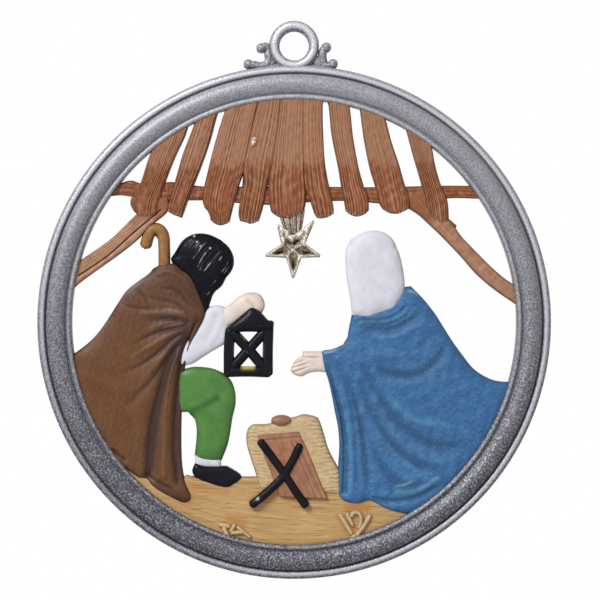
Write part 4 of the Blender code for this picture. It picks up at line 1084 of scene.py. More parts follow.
def model_roof(drawing):
    """Nine planks, the tie beam that carries them and a brace at each end."""
    at_ring = drawing.at_ring
    for number, (left, right, end) in enumerate(plank_outlines(drawing)):
        relief(
            f"plank_{number}",
            "roof",
            drawing,
            drawing.outline(left, right, bottom=end),
            2.0,
            edge=1.5,
            shoulder=0.4,
            carving=board_grain(0.50, 0.075, 20 + number),
            glint=ragged_end(50 + number),
            pitch=(0.06, 0.25),
            soften=1,
        )
    beam = drawing.outline(
        left=[at_ring(142.6), at_ring(146.2)],
        right=[at_ring(37.2), at_ring(33.2)],
        top=[
            (-22.3, 19.3), (-20.8, 18.9), (-16.4, 18.9), (-12.0, 18.5), (0.0, 18.5), (10.5, 18.4),
            (20.5, 18.6),
        ],
        bottom=[
            (-23.6, 17.3), (-19.0, 16.6), (-12.0, 16.6), (-3.5, 16.0), (6.2, 16.6), (14.0, 16.1),
            (21.3, 16.9),
        ],
    )
    relief(
        "tie_beam", "roof", drawing, beam, 1.6, 1.2, 0.5,
        carving=cross_boards(0.7, 0.06, 5), pitch=(0.25, 0.08), soften=1,
    )
    lump = drawing.oval((-17.3, 18.2), 3.4, 1.7, turn=12.0)
    relief("beam_lump", "roof", drawing, lump, 1.65, 1.4, 0.8, soften=1)
    knot = drawing.oval((-5.5, 24.5), 1.0, 1.6, turn=-25.0)
    relief("roof_knot", "knot", drawing, knot, 2.4, 1.7, 0.5, pitch=(0.08, 0.08), soften=1)
    left_brace = drawing.outline(
        left=[at_ring(164.8), at_ring(172.1)],
        right=[(-17.2, 17.1), (-17.0, 15.8)],
        top=[(-28.4, 8.9), (-25.0, 11.3), (-22.3, 13.9), (-20.5, 15.6), (-18.6, 16.9)],
        bottom=[(-29.3, 5.3), (-27.0, 7.0), (-23.5, 9.5), (-21.3, 11.3), (-19.6, 13.1), (-17.5, 14.8)],
    )
    split = drawing.fold(
        0.30, 0.12, (-29.5, 6.2), (-25.4, 9.0), (-21.8, 12.2), (-18.0, 15.4), start=0.02, end=0.02
    )
    relief(
        "left_brace", "brace", drawing, left_brace, 1.75, 1.5, 0.3, folds=(split,),
        carving=cross_boards(0.6, 0.035, 8), pitch=(0.18, 0.07), soften=1,
    )
    right_brace = drawing.outline(
        left=[(18.6, 17.4), (15.5, 17.6), (15.6, 15.5)],
        right=[at_ring(9.2), at_ring(4.0)],
        top=[
            (20.4, 15.3), (21.0, 14.2), (21.9, 13.0), (22.8, 11.7), (25.0, 9.4), (27.0, 7.4), (28.9, 5.8),
        ],
        bottom=[(17.0, 14.6), (18.1, 13.6), (20.0, 11.8), (22.5, 9.2), (25.0, 6.4), (27.5, 4.3)],
    )
    relief(
        "right_brace", "brace", drawing, right_brace, 1.75, 1.3, 0.9,
        carving=cross_boards(1.1, 0.03, 9), pitch=(0.18, 0.09), soften=2,
    )
    add_bar("brace_peg", "roof", drawing, [(21.0, 13.8), (21.9, 13.0)], 0.6, 1.6, edge=1.2)


def cross_boards(pitch, depth, seed):
    """The grain of a board that lies across the picture."""
    upright = board_grain(pitch, depth, seed)
    return lambda points, u, v, size: upright(points, v, u, size[::-1])


def model_star(drawing):
    """A star edged with raised bars, on a ribbed tail that hangs from the middle plank."""
    tips = drawing.points([(-3.9, 9.05), (-0.15, 6.0), (3.55, 9.0), (2.65, 13.75), (-2.25, 13.3)])
    notches = drawing.points([(-1.1, 8.75), (1.0, 8.75), (1.55, 10.7), (-0.15, 11.7), (-1.75, 10.6)])
    middle = drawing.points((-0.15, 9.9))
    sideways = np.array([unit(tip - middle)[::-1] * (0.16, -0.16) for tip in tips])
    corners = np.stack([tips + sideways, tips - sideways, notches], axis=1).reshape(-1, 2)
    shape = bmesh.new()
    marks = {key: shape.verts.layers.float.new(key) for key in MARKS}
    hub = shape.verts.new((*middle, 0.0))
    rim = [shape.verts.new((*corner, 0.0)) for corner in corners]
    for start, end in zip(rim, rim[1:] + rim[:1]):
        shape.faces.new((hub, start, end))
    bmesh.ops.subdivide_edges(shape, edges=shape.edges, cuts=STAR_CUTS, use_grid_fill=True)

    points = np.array([vertex.co.xy for vertex in shape.verts])
    gap = nearest(points, np.vstack([corners, corners[:1]]))[0]
    bent = points + 0.13 * np.stack([ripples(points, 1.3, 83), ripples(points, 1.3, 84)], axis=-1)
    axis_gap = np.minimum.reduce([nearest(bent, np.stack([middle, tip]))[0] for tip in tips])
    outwards = np.clip(np.hypot(*(points - middle).T) - 0.9, 0.0, 1.0)
    uneven = ripples(points, 0.9, 81)
    thick = np.interp(points[:, 1], [10.3, 11.4], [0.85, 1.45]) * (1.0 + 0.35 * ripples(points, 1.5, 82))
    bars = np.exp(-(((gap - 0.28 * thick) / (0.24 * thick)) ** 2))
    lower = np.clip((11.0 - points[:, 1]) / 0.5, 0.0, 1.0)
    top_gap = nearest(bent, drawing.points([(-2.1, 13.0), (-0.25, 11.35), (2.45, 13.35)]))[0]
    bars = np.maximum(bars, np.exp(-((top_gap / 0.42) ** 4)))
    # A groove under the top bar, painted dark as the bar's shadow
    under = np.exp(-(((top_gap - 0.68) / 0.15) ** 2)) * (points[:, 1] < 12.6)
    valley = np.exp(-((axis_gap / 0.12) ** 2)) * outwards * (1.0 - bars) * lower
    spoke_gap = np.minimum.reduce([nearest(bent, np.stack([middle, notch]))[0] for notch in notches])
    spokes = np.exp(-((spoke_gap / 0.17) ** 2)) * (1.0 - bars)
    height = 1.4 + (0.6 + 0.12 * uneven) * bars + 0.25 * spokes - 0.3 * valley - 0.25 * under + 0.07 * uneven
    # Painted shade in a band just inside the bars
    inside = np.clip((gap - 0.35) / 0.2, 0.0, 1.0) * np.clip((0.95 - gap) / 0.3, 0.0, 1.0)
    # The dark of the arms' middle valleys, with the painted shade and the painted shadow
    dark = 0.85 * valley + 0.5 * inside * (1.0 - 0.7 * spokes) * lower + 0.95 * under
    fields = {
        "hollow": np.clip(dark + 0.9 * np.exp(-((gap / 0.11) ** 2)), 0.0, 1.0),
        "ridge": np.clip(bars * (1.0 + 0.35 * uneven) + spokes * (0.45 + 0.7 * uneven), 0.0, 1.0),
        "rim": np.exp(-((gap / 0.1) ** 2)),
    }
    for i, vertex in enumerate(shape.verts):
        for key, field in fields.items():
            vertex[marks[key]] = field[i]
        vertex.co = place(points[i, 0], height[i], points[i, 1])
    close_back(shape)
    add_piece("star", shape, "gold")
    tail = drawing.outline(
        left=[(-2.1, 15.4), (-1.9, 14.0), (-1.1, 12.0)],
        right=[(1.5, 15.4), (1.3, 14.0), (0.9, 11.8)],
    )
    relief(
        "star_tail", "tail", drawing, tail, 1.6, 1.15, 0.4,
        carving=board_grain(0.72, 0.15, 3), pitch=(0.05, 0.12), soften=0,
    )


def hair_strands(drawing):
    """The hair's carving and its painted shine. Its strands run in arcs about a point beyond the nape."""
    nape = drawing.points((-6.6, 4.9))

    def strands(points, pitch, seed):
        reach = np.hypot(points[..., 0] - nape[0], points[..., 1] - nape[1])
        reach = reach + 0.08 * ripples(points, 2.6, seed)
        return 1.0 - np.abs(np.sin(np.pi * reach / pitch))

    def carve(points, u, v, size):
        return -0.05 * strands(points, 0.47, 7) ** 2 - 0.03 * strands(points, 0.31, 9) ** 2

    def shine(strength, *drawn):
        return drawing.fold(strength, 0.05, *drawn, start=0.3, end=0.3)

    def dot(strength, x, z):
        return drawing.fold(strength, 0.085, (x - 0.04, z), (x + 0.04, z), start=0.0, end=0.0)

    lines = painted(
        shine(0.7, (-13.8, 8.6), (-13.2, 9.3), (-12.6, 10.2), (-12.0, 10.8)),
        shine(1.0, (-13.1, 7.4), (-12.6, 8.5), (-12.0, 9.4), (-11.4, 10.0)),
        shine(0.8, (-12.8, 7.0), (-12.5, 7.9), (-12.2, 8.5)),
        shine(0.9, (-11.7, 7.5), (-11.3, 8.1), (-10.8, 8.8), (-9.95, 9.7)),
        shine(0.6, (-12.3, 6.9), (-11.9, 7.3), (-11.5, 8.0)),
        shine(0.6, (-10.2, 8.3), (-9.8, 9.0)),
        shine(0.5, (-13.6, 9.9), (-12.8, 10.9)),
        shine(0.45, (-11.3, 4.9), (-10.5, 5.8)),
        shine(0.4, (-10.0, 6.6), (-9.2, 7.7), (-8.9, 8.6)),
        shine(0.35, (-9.6, 6.5), (-8.8, 7.6)),
        shine(0.35, (-12.1, 3.4), (-11.4, 4.2)),
        shine(0.4, (-15.4, 9.6), (-14.6, 10.7), (-13.8, 11.3)),
    )
    spots = painted(
        dot(1.0, -13.6, 11.7), dot(0.9, -13.2, 10.9), dot(0.8, -12.65, 10.3), dot(1.0, -11.4, 10.05)
    )

    def broken(points, u, v, size):
        return lines(points, u, v, size) * np.clip(0.6 + ripples(points, 1.1, 10), 0.1, 1.0)

    return {"carving": carve, "stain": broken, "glint": spots}


def model_man(drawing):
    """The kneeling man, seen from behind: crook, hair, sleeve, hand, leg and shoe."""
    crook = [(-17.75, 6.6), (-17.75, 10.0), (-17.95, 12.0), (-18.8, 12.75), (-19.7, 12.2), (-20.25, 10.6)]
    add_bar("crook", "crook", drawing, crook, 1.6, 1.8, edge=1.0)
    hair = drawing.outline(
        left=[
            (-16.3, 9.4), (-16.8, 8.5), (-15.9, 7.3), (-14.5, 6.1), (-13.5, 4.4), (-12.9, 2.6),
            (-12.5, 1.0),
        ],
        right=[
            (-10.0, 11.2), (-8.9, 10.2), (-8.3, 9.0), (-8.25, 7.8), (-8.6, 6.9), (-9.3, 6.0), (-9.9, 4.9),
            (-10.9, 4.0), (-11.4, 2.8), (-11.8, 1.5),
        ],
        top=[(-15.3, 11.0), (-14.2, 11.8), (-12.9, 12.1), (-11.5, 11.9)],
    )
    strands = hair_strands(drawing)
    relief("hair", "hair", drawing, hair, 2.6, 1.3, 2.6, pitch=(0.05, 0.06), soften=6, **strands)
    sleeve = drawing.outline(
        left=[(-11.7, 2.1), (-12.8, 0.0), (-14.4, -2.3), (-15.6, -4.5), (-15.9, -6.0)],
        right=[(-9.5, 2.1), (-8.9, 0.7), (-8.9, -1.0), (-9.0, -2.75)],
        top=[(-10.4, 2.3)],
        bottom=[(-14.0, -5.75), (-12.6, -4.9), (-11.0, -3.9)],
    )
    creases = [
        drawing.fold(0.10, 0.5, (-10.5, 1.5), (-11.0, -0.5), (-12.3, -2.8)),
        drawing.fold(0.08, 0.4, (-9.6, 0.0), (-10.2, -2.0), (-11.5, -3.6)),
    ]
    relief("sleeve", "white", drawing, sleeve, 1.75, 1.1, 1.1, folds=creases)
    hand = drawing.outline(
        left=[(-9.9, 1.7), (-9.9, 0.5), (-9.6, -0.7)],
        right=[(-5.3, 4.05), (-4.6, 3.7), (-4.15, 3.0), (-4.0, 2.1), (-4.4, 1.2)],
        top=[(-8.6, 2.55), (-7.6, 3.4), (-6.5, 3.95)],
        bottom=[(-8.4, -0.4), (-6.5, 0.8)],
    )
    knuckles = [
        drawing.fold(0.08, 0.25, (-6.6, 3.2), (-5.9, 2.6), (-5.4, 1.8)),
    ]
    relief("man_hand", "skin", drawing, hand, 1.9, 1.1, 1.2, folds=knuckles)
    leg = drawing.outline(
        left=[
            (-15.7, -6.6), (-15.9, -9.0), (-15.7, -12.1), (-14.3, -12.35), (-13.6, -13.2), (-13.3, -15.0),
            (-13.6, -18.3),
        ],
        right=[
            (-9.4, -7.1), (-8.5, -8.2), (-8.05, -9.6), (-8.0, -11.2), (-8.4, -13.0), (-9.0, -16.5),
            (-9.9, -18.9),
        ],
        top=[(-13.9, -6.15), (-12.5, -6.15), (-11.0, -6.4)],
        bottom=[(-12.9, -18.7), (-11.8, -18.95), (-10.6, -19.0)],
    )
    knee = [
        drawing.fold(0.16, 0.55, (-14.4, -12.4), (-12.5, -11.5), (-11.0, -10.6), (-9.9, -10.0), lean=1.8),
    ]
    relief("trousers", "green", drawing, leg, 1.95, 1.1, 1.6, folds=knee)
    sock = drawing.outline([(-13.5, -18.0), (-13.55, -19.8)], [(-10.1, -18.6), (-9.9, -19.9)])
    relief("sock", "white", drawing, sock, 1.55, 1.1, 0.5)
    shoe = drawing.outline(
        left=[(-13.5, -19.15), (-13.9, -20.2), (-13.7, -20.9), (-13.2, -21.4)],
        right=[(-9.2, -19.65), (-8.2, -20.2), (-7.2, -21.0), (-7.5, -21.6), (-8.2, -22.2)],
        top=[(-12.9, -19.4), (-12.0, -19.65), (-10.5, -19.65)],
        bottom=[(-11.5, -22.0), (-10.3, -22.4), (-9.2, -22.55)],
    )
    relief("shoe", "black", drawing, shoe, 1.95, 1.3, 0.9)


def model_lantern(drawing):
    """A lantern of two posts, two rails and a cross, open between them, under a pitched roof."""
    bars = {
        "left_post": [(-8.75, -1.2), (-8.9, -4.0), (-8.9, -6.9)],
        "right_post": [(-3.5, -0.6), (-3.6, -4.0), (-3.6, -6.9)],
        "sill": [(-8.9, -6.8), (-6.2, -6.75), (-3.6, -6.85)],
    }
    glow = painted(
        drawing.fold(1.0, 0.26, (-7.3, -6.15), (-5.2, -6.15), start=0.2, end=0.2),
        drawing.fold(0.5, 0.14, (-7.3, -1.5), (-6.4, -2.6), start=0.3, end=0.3),
        drawing.fold(0.35, 0.14, (-8.15, -2.6), (-8.15, -4.9), start=0.3, end=0.3),
        drawing.fold(0.35, 0.14, (-4.3, -2.6), (-4.3, -4.9), start=0.3, end=0.3),
    )
    for name, path in bars.items():
        add_bar(f"lantern_{name}", "black", drawing, path, LANTERN_BAR, 2.1, edge=1.5, stain=glow)
    crosses = [[(-8.3, -1.5), (-6.2, -3.75), (-4.1, -6.3)], [(-4.1, -1.4), (-6.2, -3.75), (-8.4, -6.2)]]
    for number, path in enumerate(crosses):
        name, crest = f"lantern_cross_{number}", 2.05 - 0.05 * number
        add_bar(name, "black", drawing, path, LANTERN_BAR, crest, edge=1.3, stain=glow)
    roof = drawing.outline(
        left=[(-5.85, 2.3), (-6.8, 1.3), (-8.0, 0.2), (-8.9, -0.7), (-9.3, -1.5)],
        right=[(-5.6, 2.25), (-4.3, 1.1), (-3.5, 0.25), (-3.0, 0.2), (-2.75, -0.1), (-2.9, -1.4)],
        bottom=[(-7.0, -1.35), (-5.0, -1.35)],
    )
    relief("lantern_roof", "black", drawing, roof, 2.45, 1.5, 1.3)


def brushwork(broad, fine, depth, seed):
    """An uneven surface of broad waves with fine ones of that depth on them."""
    return lambda points, u, v, size: (
        0.03 * ripples(points, broad, seed) + depth * ripples(points, fine, seed + 1)
    )


def model_man_cloak(drawing):
    """The man's cloak, gathered at the arm that holds it: its folds fan out from there to the hem."""
    cloak = drawing.outline(
        left=[
            (-19.2, 7.3), (-19.8, 6.6), (-21.2, 5.6), (-22.8, 4.3), (-24.0, 2.6), (-25.0, 1.0),
            (-26.5, -1.2), (-28.0, -2.8), drawing.at_ring(188.6),
        ],
        right=[
            (-15.2, 7.5), (-14.1, 6.5), (-13.4, 5.3), (-12.9, 4.0), (-12.4, 2.8), (-12.2, 1.4),
            (-12.4, 0.2), (-13.8, -2.6), (-14.9, -6.2), (-15.2, -8.5), (-15.4, -17.0), (-15.0, -21.3),
            (-13.7, -24.2),
        ],
        top=[(-18.0, 7.9), (-17.0, 8.0), (-16.0, 7.9)],
        bottom=[
            *drawing.ring_arc(194, 217, 5), (-21.3, -21.1), (-20.1, -21.4), (-19.3, -22.3),
            (-18.0, -23.2), (-16.5, -24.0), (-15.0, -24.6),
        ],
    )
    fold = drawing.fold
    folds = [
        fold(
            0.60, 0.70, (-14.2, -1.6), (-16.0, -3.6), (-17.4, -6.5), (-18.4, -10.0), (-19.3, -14.0),
            (-20.0, -21.0), start=0.1, end=0.0
        ),
        fold(
            0.45, 0.45, (-14.3, -2.0), (-15.2, -4.6), (-15.7, -7.5), (-16.1, -12.0), (-16.3, -18.0),
            (-15.7, -22.5), start=0.05, end=0.1
        ),
        fold(-0.28, 0.6, (-14.4, -1.9), (-16.5, -6.5), (-17.3, -12.0), (-17.8, -21.5), end=0.05),
        fold(0.12, 0.2, (-14.5, -2.2), (-16.2, -6.0), (-17.0, -10.0), (-17.5, -16.0), end=0.4),
        fold(-0.22, 0.35, (-14.7, 0.9), (-17.9, 1.3), (-21.0, 1.2), start=0.2, end=0.4),
        fold(0.22, 0.30, (-14.0, -0.1), (-15.6, 0.3), (-17.5, 0.5), (-20.0, 0.2), start=0.1, end=0.5),
        fold(-0.18, 0.35, (-14.6, 0.0), (-17.0, -0.1), (-20.5, -1.2), start=0.1, end=0.5),
        fold(0.26, 0.32, (-14.2, -0.5), (-16.0, -0.8), (-18.5, -1.4), (-22.0, -3.0), start=0.1, end=0.5),
        fold(-0.18, 0.3, (-14.3, -0.7), (-16.4, -1.5), (-19.5, -3.2), (-22.5, -5.2), start=0.1, end=0.6),
        fold(0.28, 0.40, (-14.3, -1.0), (-16.2, -2.2), (-18.3, -4.0), (-20.5, -5.6), (-23.5, -7.0), end=0.5),
        fold(-0.22, 0.4, (-14.5, -1.3), (-16.5, -3.0), (-17.9, -4.8), (-20.8, -8.0), end=0.6),
        fold(0.14, 0.3, (-15.8, -2.9), (-17.6, -5.3), (-19.2, -7.6), (-21.5, -10.0), start=0.3, end=0.5),
        fold(0.22, 0.7, (-16.9, -5.0), (-19.4, -8.0), (-21.6, -10.2), (-23.5, -11.8), start=0.3, end=0.4),
        fold(0.18, 0.25, (-18.2, 4.6), (-16.3, 4.4), (-14.9, 3.2), (-14.0, 1.8), start=0.3, end=0.3),
        fold(0.14, 0.25, (-20.6, 3.6), (-18.0, 3.0), (-15.8, 2.4), (-14.2, 1.0), start=0.4, end=0.2),
        fold(0.14, 0.25, (-23.0, 2.2), (-21.0, 1.9), (-18.5, 1.7), start=0.3, end=0.3),
        fold(0.14, 0.2, (-21.6, 4.6), (-20.4, 3.4), (-19.6, 1.8), start=0.3, end=0.3),
        fold(-0.15, 0.3, (-18.9, 6.4), (-17.0, 6.9), (-15.3, 6.2), (-13.9, 4.4), start=0.2, end=0.2),
        fold(0.30, 0.20, (-12.9, 0.6), (-13.9, -1.2), (-15.0, -4.2), (-15.3, -7.0), (-15.6, -12.0), end=0.3),
        fold(0.25, 0.35, (-25.0, -17.2), (-22.9, -19.0)),
        fold(0.22, 0.3, (-20.4, -20.6), (-18.4, -21.8), (-16.2, -22.8), start=0.2, end=0.2),
        fold(0.12, 0.2, (-18.9, -21.6), (-17.1, -22.6), (-15.4, -23.7), start=0.2, end=0.2),
    ]
    shadows = painted(
        fold(
            0.95, 0.85, (-14.4, -1.8), (-16.2, -4.2), (-17.6, -7.5), (-18.7, -12.0), (-19.6, -20.5),
            end=0.05
        ),
        fold(0.95, 0.55, (-14.5, -2.5), (-15.4, -6.0), (-15.9, -12.0), (-16.0, -22.0), end=0.02),
        fold(0.8, 0.12, (-14.0, -0.1), (-15.6, 0.2), (-17.5, 0.4), (-19.4, 0.2), start=0.05, end=0.5),
        fold(0.8, 0.12, (-14.2, -0.7), (-16.0, -1.0), (-18.5, -1.7), (-20.8, -2.6), start=0.05, end=0.5),
        fold(0.8, 0.12, (-14.3, -1.2), (-16.2, -2.4), (-18.3, -4.2), (-20.3, -5.7), start=0.05, end=0.5),
        fold(0.8, 0.28, (-17.3, -6.5), (-18.2, -10.0), (-19.0, -14.5), (-19.8, -20.6), start=0.3, end=0.0),
        fold(0.8, 0.4, (-16.6, -23.7), (-15.0, -24.2), (-13.9, -24.1), (-14.4, -22.2), start=0.2, end=0.1),
        fold(0.7, 0.5, (-13.0, 1.2), (-14.0, -1.0), (-15.0, -4.0), (-15.4, -8.0), start=0.05),
        fold(0.45, 1.2, (-18.4, 5.0), (-16.0, 4.6), (-14.1, 3.6), (-13.3, 1.5), start=0.3, end=0.1),
        fold(0.55, 0.6, (-14.0, 0.2), (-16.0, 0.5), (-19.5, 0.0), start=0.1, end=0.6),
        fold(0.55, 0.5, (-14.2, -0.6), (-17.0, -1.1), (-20.5, -2.4), start=0.1, end=0.6),
        fold(0.55, 0.5, (-14.4, -1.2), (-17.0, -2.9), (-20.0, -5.3), start=0.1, end=0.6),
        fold(0.4, 0.5, (-19.8, 5.4), (-21.8, 4.2), (-23.4, 2.4), start=0.2, end=0.5),
        fold(0.5, 0.5, (-20.2, -20.9), (-18.0, -22.4), (-15.0, -24.0), start=0.2),
    )

    lights = painted(
        fold(0.55, 0.22, (-19.3, 7.0), (-21.3, 5.3), (-23.1, 3.8), (-24.3, 2.0), start=0.3, end=0.4),
        fold(0.35, 0.18, (-24.9, 0.8), (-26.4, -1.3), (-27.9, -3.0), start=0.2, end=0.3),
        fold(0.35, 0.16, (-14.9, 1.3), (-17.0, 1.7), (-18.6, 1.6), start=0.3, end=0.6),
        fold(0.35, 0.14, (-15.0, -0.2), (-16.9, -0.5), (-18.2, -0.9), start=0.3, end=0.6),
    )

    relief(
        "man_cloak", "cloak_brown", drawing, cloak, 2.35, 1.45, 2.5,
        folds=folds, carving=brushwork(2.4, 0.7, 0.018, 31), stain=shadows, glint=lights,
    )


def model_woman(drawing):
    """The kneeling woman, seen from behind: hand, cloak and veil."""
    fold = drawing.fold
    hand = drawing.outline(
        left=[(1.15, -4.0), (1.1, -4.6), (0.2, -5.2), (-0.3, -6.0), (-0.5, -6.6), (0.0, -7.2)],
        right=[(4.3, -4.0), (4.6, -6.9)],
        bottom=[(1.0, -7.45), (2.0, -7.0), (3.0, -6.8)],
    )
    fingers = [
        fold(0.20, 0.12, (-0.2, -5.7), (1.8, -5.0), start=0.0, end=0.4),
        fold(0.20, 0.12, (-0.3, -6.2), (2.0, -5.6), start=0.0, end=0.4),
        fold(0.20, 0.12, (-0.1, -6.8), (2.0, -6.1), start=0.0, end=0.4),
        fold(0.18, 0.14, (1.1, -4.75), (3.6, -4.85), start=0.0, end=0.3),
    ]
    relief(
        "woman_hand", "skin", drawing, hand, 1.75, 1.0, 0.7, folds=fingers, pitch=(0.09, 0.08), soften=2
    )
    cloak = drawing.outline(
        left=[
            (7.9, 1.2), (7.4, -1.2), (7.1, -2.7), (6.2, -3.3), (5.0, -3.75), (3.9, -3.95), (3.75, -4.6),
            (4.1, -6.2), (4.8, -8.5), (5.6, -12.5), (6.0, -14.5), (6.15, -17.0), (6.0, -20.0),
            (6.0, -24.1),
        ],
        right=[
            (15.9, 4.9), (17.0, 3.8), (18.0, 2.7), (19.3, 1.0), (20.3, -0.6), (21.5, -2.5), (22.8, -4.3),
            (24.3, -6.2), (25.8, -7.3), (27.5, -8.0), drawing.at_ring(-15.5),
        ],
        top=[(10.5, 1.8), (13.0, 2.8), (15.0, 4.7)],
        bottom=[
            (7.3, -24.55), (8.7, -24.7), (10.2, -24.3), (11.2, -24.7), (12.5, -25.4), (14.2, -25.9),
            (15.6, -26.1), *drawing.ring_arc(-57, -19, 6),
        ],
    )
    folds = [
        fold(0.22, 0.45, (9.0, -0.7), (12.0, -1.0), (14.5, -0.4), (16.5, 0.9), (17.6, 2.2), lean=1.6),
        fold(0.14, 0.25, (8.6, 0.4), (11.5, 0.3), (13.8, 1.0), (15.6, 2.6), start=0.1, end=0.1),
        fold(0.10, 0.2, (9.5, -0.2), (12.5, -0.3), (15.0, 0.8), (16.4, 2.4), start=0.2, end=0.2),
        fold(-0.14, 0.5, (10.5, -1.9), (13.5, -2.0), (16.5, -0.5), (18.3, 0.8), start=0.3, end=0.3),
        fold(
            0.32, 0.8, (11.0, -6.3), (14.0, -7.1), (16.5, -7.2), (18.65, -6.0), (20.0, -4.2), (20.5, -2.6),
            lean=0.7
        ),
        fold(0.14, 0.5, (13.5, -3.6), (16.0, -3.6), (18.0, -2.4), (18.9, -1.0), start=0.3, end=0.3),
        fold(
            0.34, 0.95, (9.0, -5.0), (11.0, -9.0), (13.5, -12.8), (16.8, -15.6), (20.5, -16.9),
            (25.0, -16.0)
        ),
        fold(0.34, 0.85, (8.8, -7.5), (11.0, -13.0), (13.6, -16.8), (17.2, -19.4), (21.0, -20.0)),
        fold(0.34, 0.8, (8.8, -12.5), (11.0, -17.5), (13.4, -21.0), (16.0, -22.4), (19.0, -21.8)),
        fold(0.30, 0.35, (4.9, -7.0), (6.4, -12.0), (7.1, -17.0), (7.0, -23.5), end=0.02),
        fold(0.24, 0.22, (4.4, -5.6), (5.5, -9.5), (6.5, -13.5), (6.8, -18.0), (6.6, -23.5), end=0.02),
        fold(0.28, 0.55, (6.0, -4.8), (7.8, -9.0), (9.0, -13.5), (9.7, -18.0), (10.0, -23.0)),
        fold(0.16, 0.4, (5.4, -4.6), (7.0, -8.5), (8.1, -13.5), (8.4, -19.0), (8.4, -23.0), start=0.3),
        fold(0.30, 0.45, (10.5, -23.9), (13.5, -24.3), (16.8, -23.7), (20.3, -21.7)),
        fold(-0.24, 0.5, (13.5, -23.2), (17.0, -22.8), (20.0, -21.0)),
        fold(-0.20, 1.0, (9.5, -4.3), (13.0, -4.0), (17.0, -3.2)),
        fold(-0.24, 1.0, (12.5, -10.0), (16.5, -13.2), (22.0, -14.2)),
        fold(-0.14, 0.7, (10.5, -13.5), (13.5, -17.5), (17.0, -20.5)),
        fold(-0.18, 0.25, (3.9, -4.2), (5.0, -4.0), (6.4, -3.5), (7.4, -2.2), start=0.05, end=0.2),
    ]
    shadows = painted(
        fold(0.6, 1.0, (11.0, -6.6), (14.0, -7.4), (16.7, -7.4), (18.9, -6.1), (20.2, -4.0), lean=0.7),
        fold(0.5, 0.7, (8.4, 0.2), (12.0, -0.4), (14.8, 0.2), (16.6, 1.8), start=0.1, end=0.3),
        fold(0.5, 1.0, (9.6, -6.6), (12.0, -10.8), (14.6, -14.0), (18.0, -16.4), (22.0, -16.8), start=0.3),
        fold(0.5, 0.8, (9.3, -9.5), (11.4, -14.0), (14.2, -17.6), (18.0, -19.8), start=0.3),
        fold(0.8, 0.5, (4.2, -5.2), (5.5, -10.0), (6.5, -15.0), (6.5, -23.5), start=0.05, end=0.05),
        fold(0.65, 0.5, (6.6, -6.5), (8.2, -11.0), (9.2, -16.0), (9.4, -22.5), start=0.2),
        fold(0.55, 0.5, (10.6, -17.4), (12.8, -21.2), (15.4, -22.9), (18.0, -22.7), start=0.2, end=0.3),
        fold(0.4, 0.7, (19.5, -0.5), (21.5, -3.5), (24.5, -7.0), (28.0, -8.8), start=0.3),
    )

    lights = painted(
        fold(0.6, 0.12, (13.6, -22.3), (15.0, -22.1), (16.6, -21.4), start=0.3, end=0.3),
        fold(0.7, 0.16, (3.95, -4.1), (5.0, -3.95), (6.1, -3.5), start=0.1, end=0.3),
        fold(0.7, 0.16, (15.4, 4.3), (16.3, 4.1), (17.0, 3.5), start=0.2, end=0.4),
    )
    relief(
        "woman_cloak", "cloak_blue", drawing, cloak, 2.35, 1.45, 2.5,
        folds=folds, carving=brushwork(2.0, 0.6, 0.018, 41), stain=shadows, glint=lights,
    )
    veil = drawing.outline(
        left=[(7.7, 11.2), (7.1, 10.0), (7.0, 8.5), (7.2, 6.0), (7.6, 3.5), (7.9, 1.0)],
        right=[(14.0, 10.3), (14.6, 8.3), (15.0, 6.0), (15.0, 4.4), (14.4, 2.6)],
        top=[(9.0, 12.0), (10.2, 12.4), (11.3, 12.45), (12.4, 12.1), (13.3, 11.4)],
        bottom=[(9.0, 0.75), (10.1, 0.6), (11.0, 0.9), (12.3, 1.3), (13.6, 1.8)],
    )

    relief("veil", "white", drawing, veil, 2.6, 1.7, 2.0, carving=brushwork(2.6, 0.9, 0.012, 51), soften=8)


def hay_strands(points, u, v, size):
    """Short strands that lie outwards over the manger's rim."""
    outwards = np.clip(2.2 * np.abs(u - 0.5) - 0.35, 0.0, 1.0)
    slant = v * size[1] + 2.4 * np.abs(u - 0.5) + 0.12 * ripples(points, 1.2, 61)
    broken = np.clip(0.6 + ripples(points, 2.4, 63), 0.0, 1.0)
    strand = 1.0 - np.abs(np.sin(np.pi * slant / 0.58))
    return -0.20 * outwards * broken * strand**3 + 0.012 * ripples(points, 0.8, 62)


def hay_shadows(points, u, v, size):
    """How near each point is to a dark line between two strands."""
    return np.clip(-hay_strands(points, u, v, size) / 0.18, 0.0, 1.0) ** 1.5


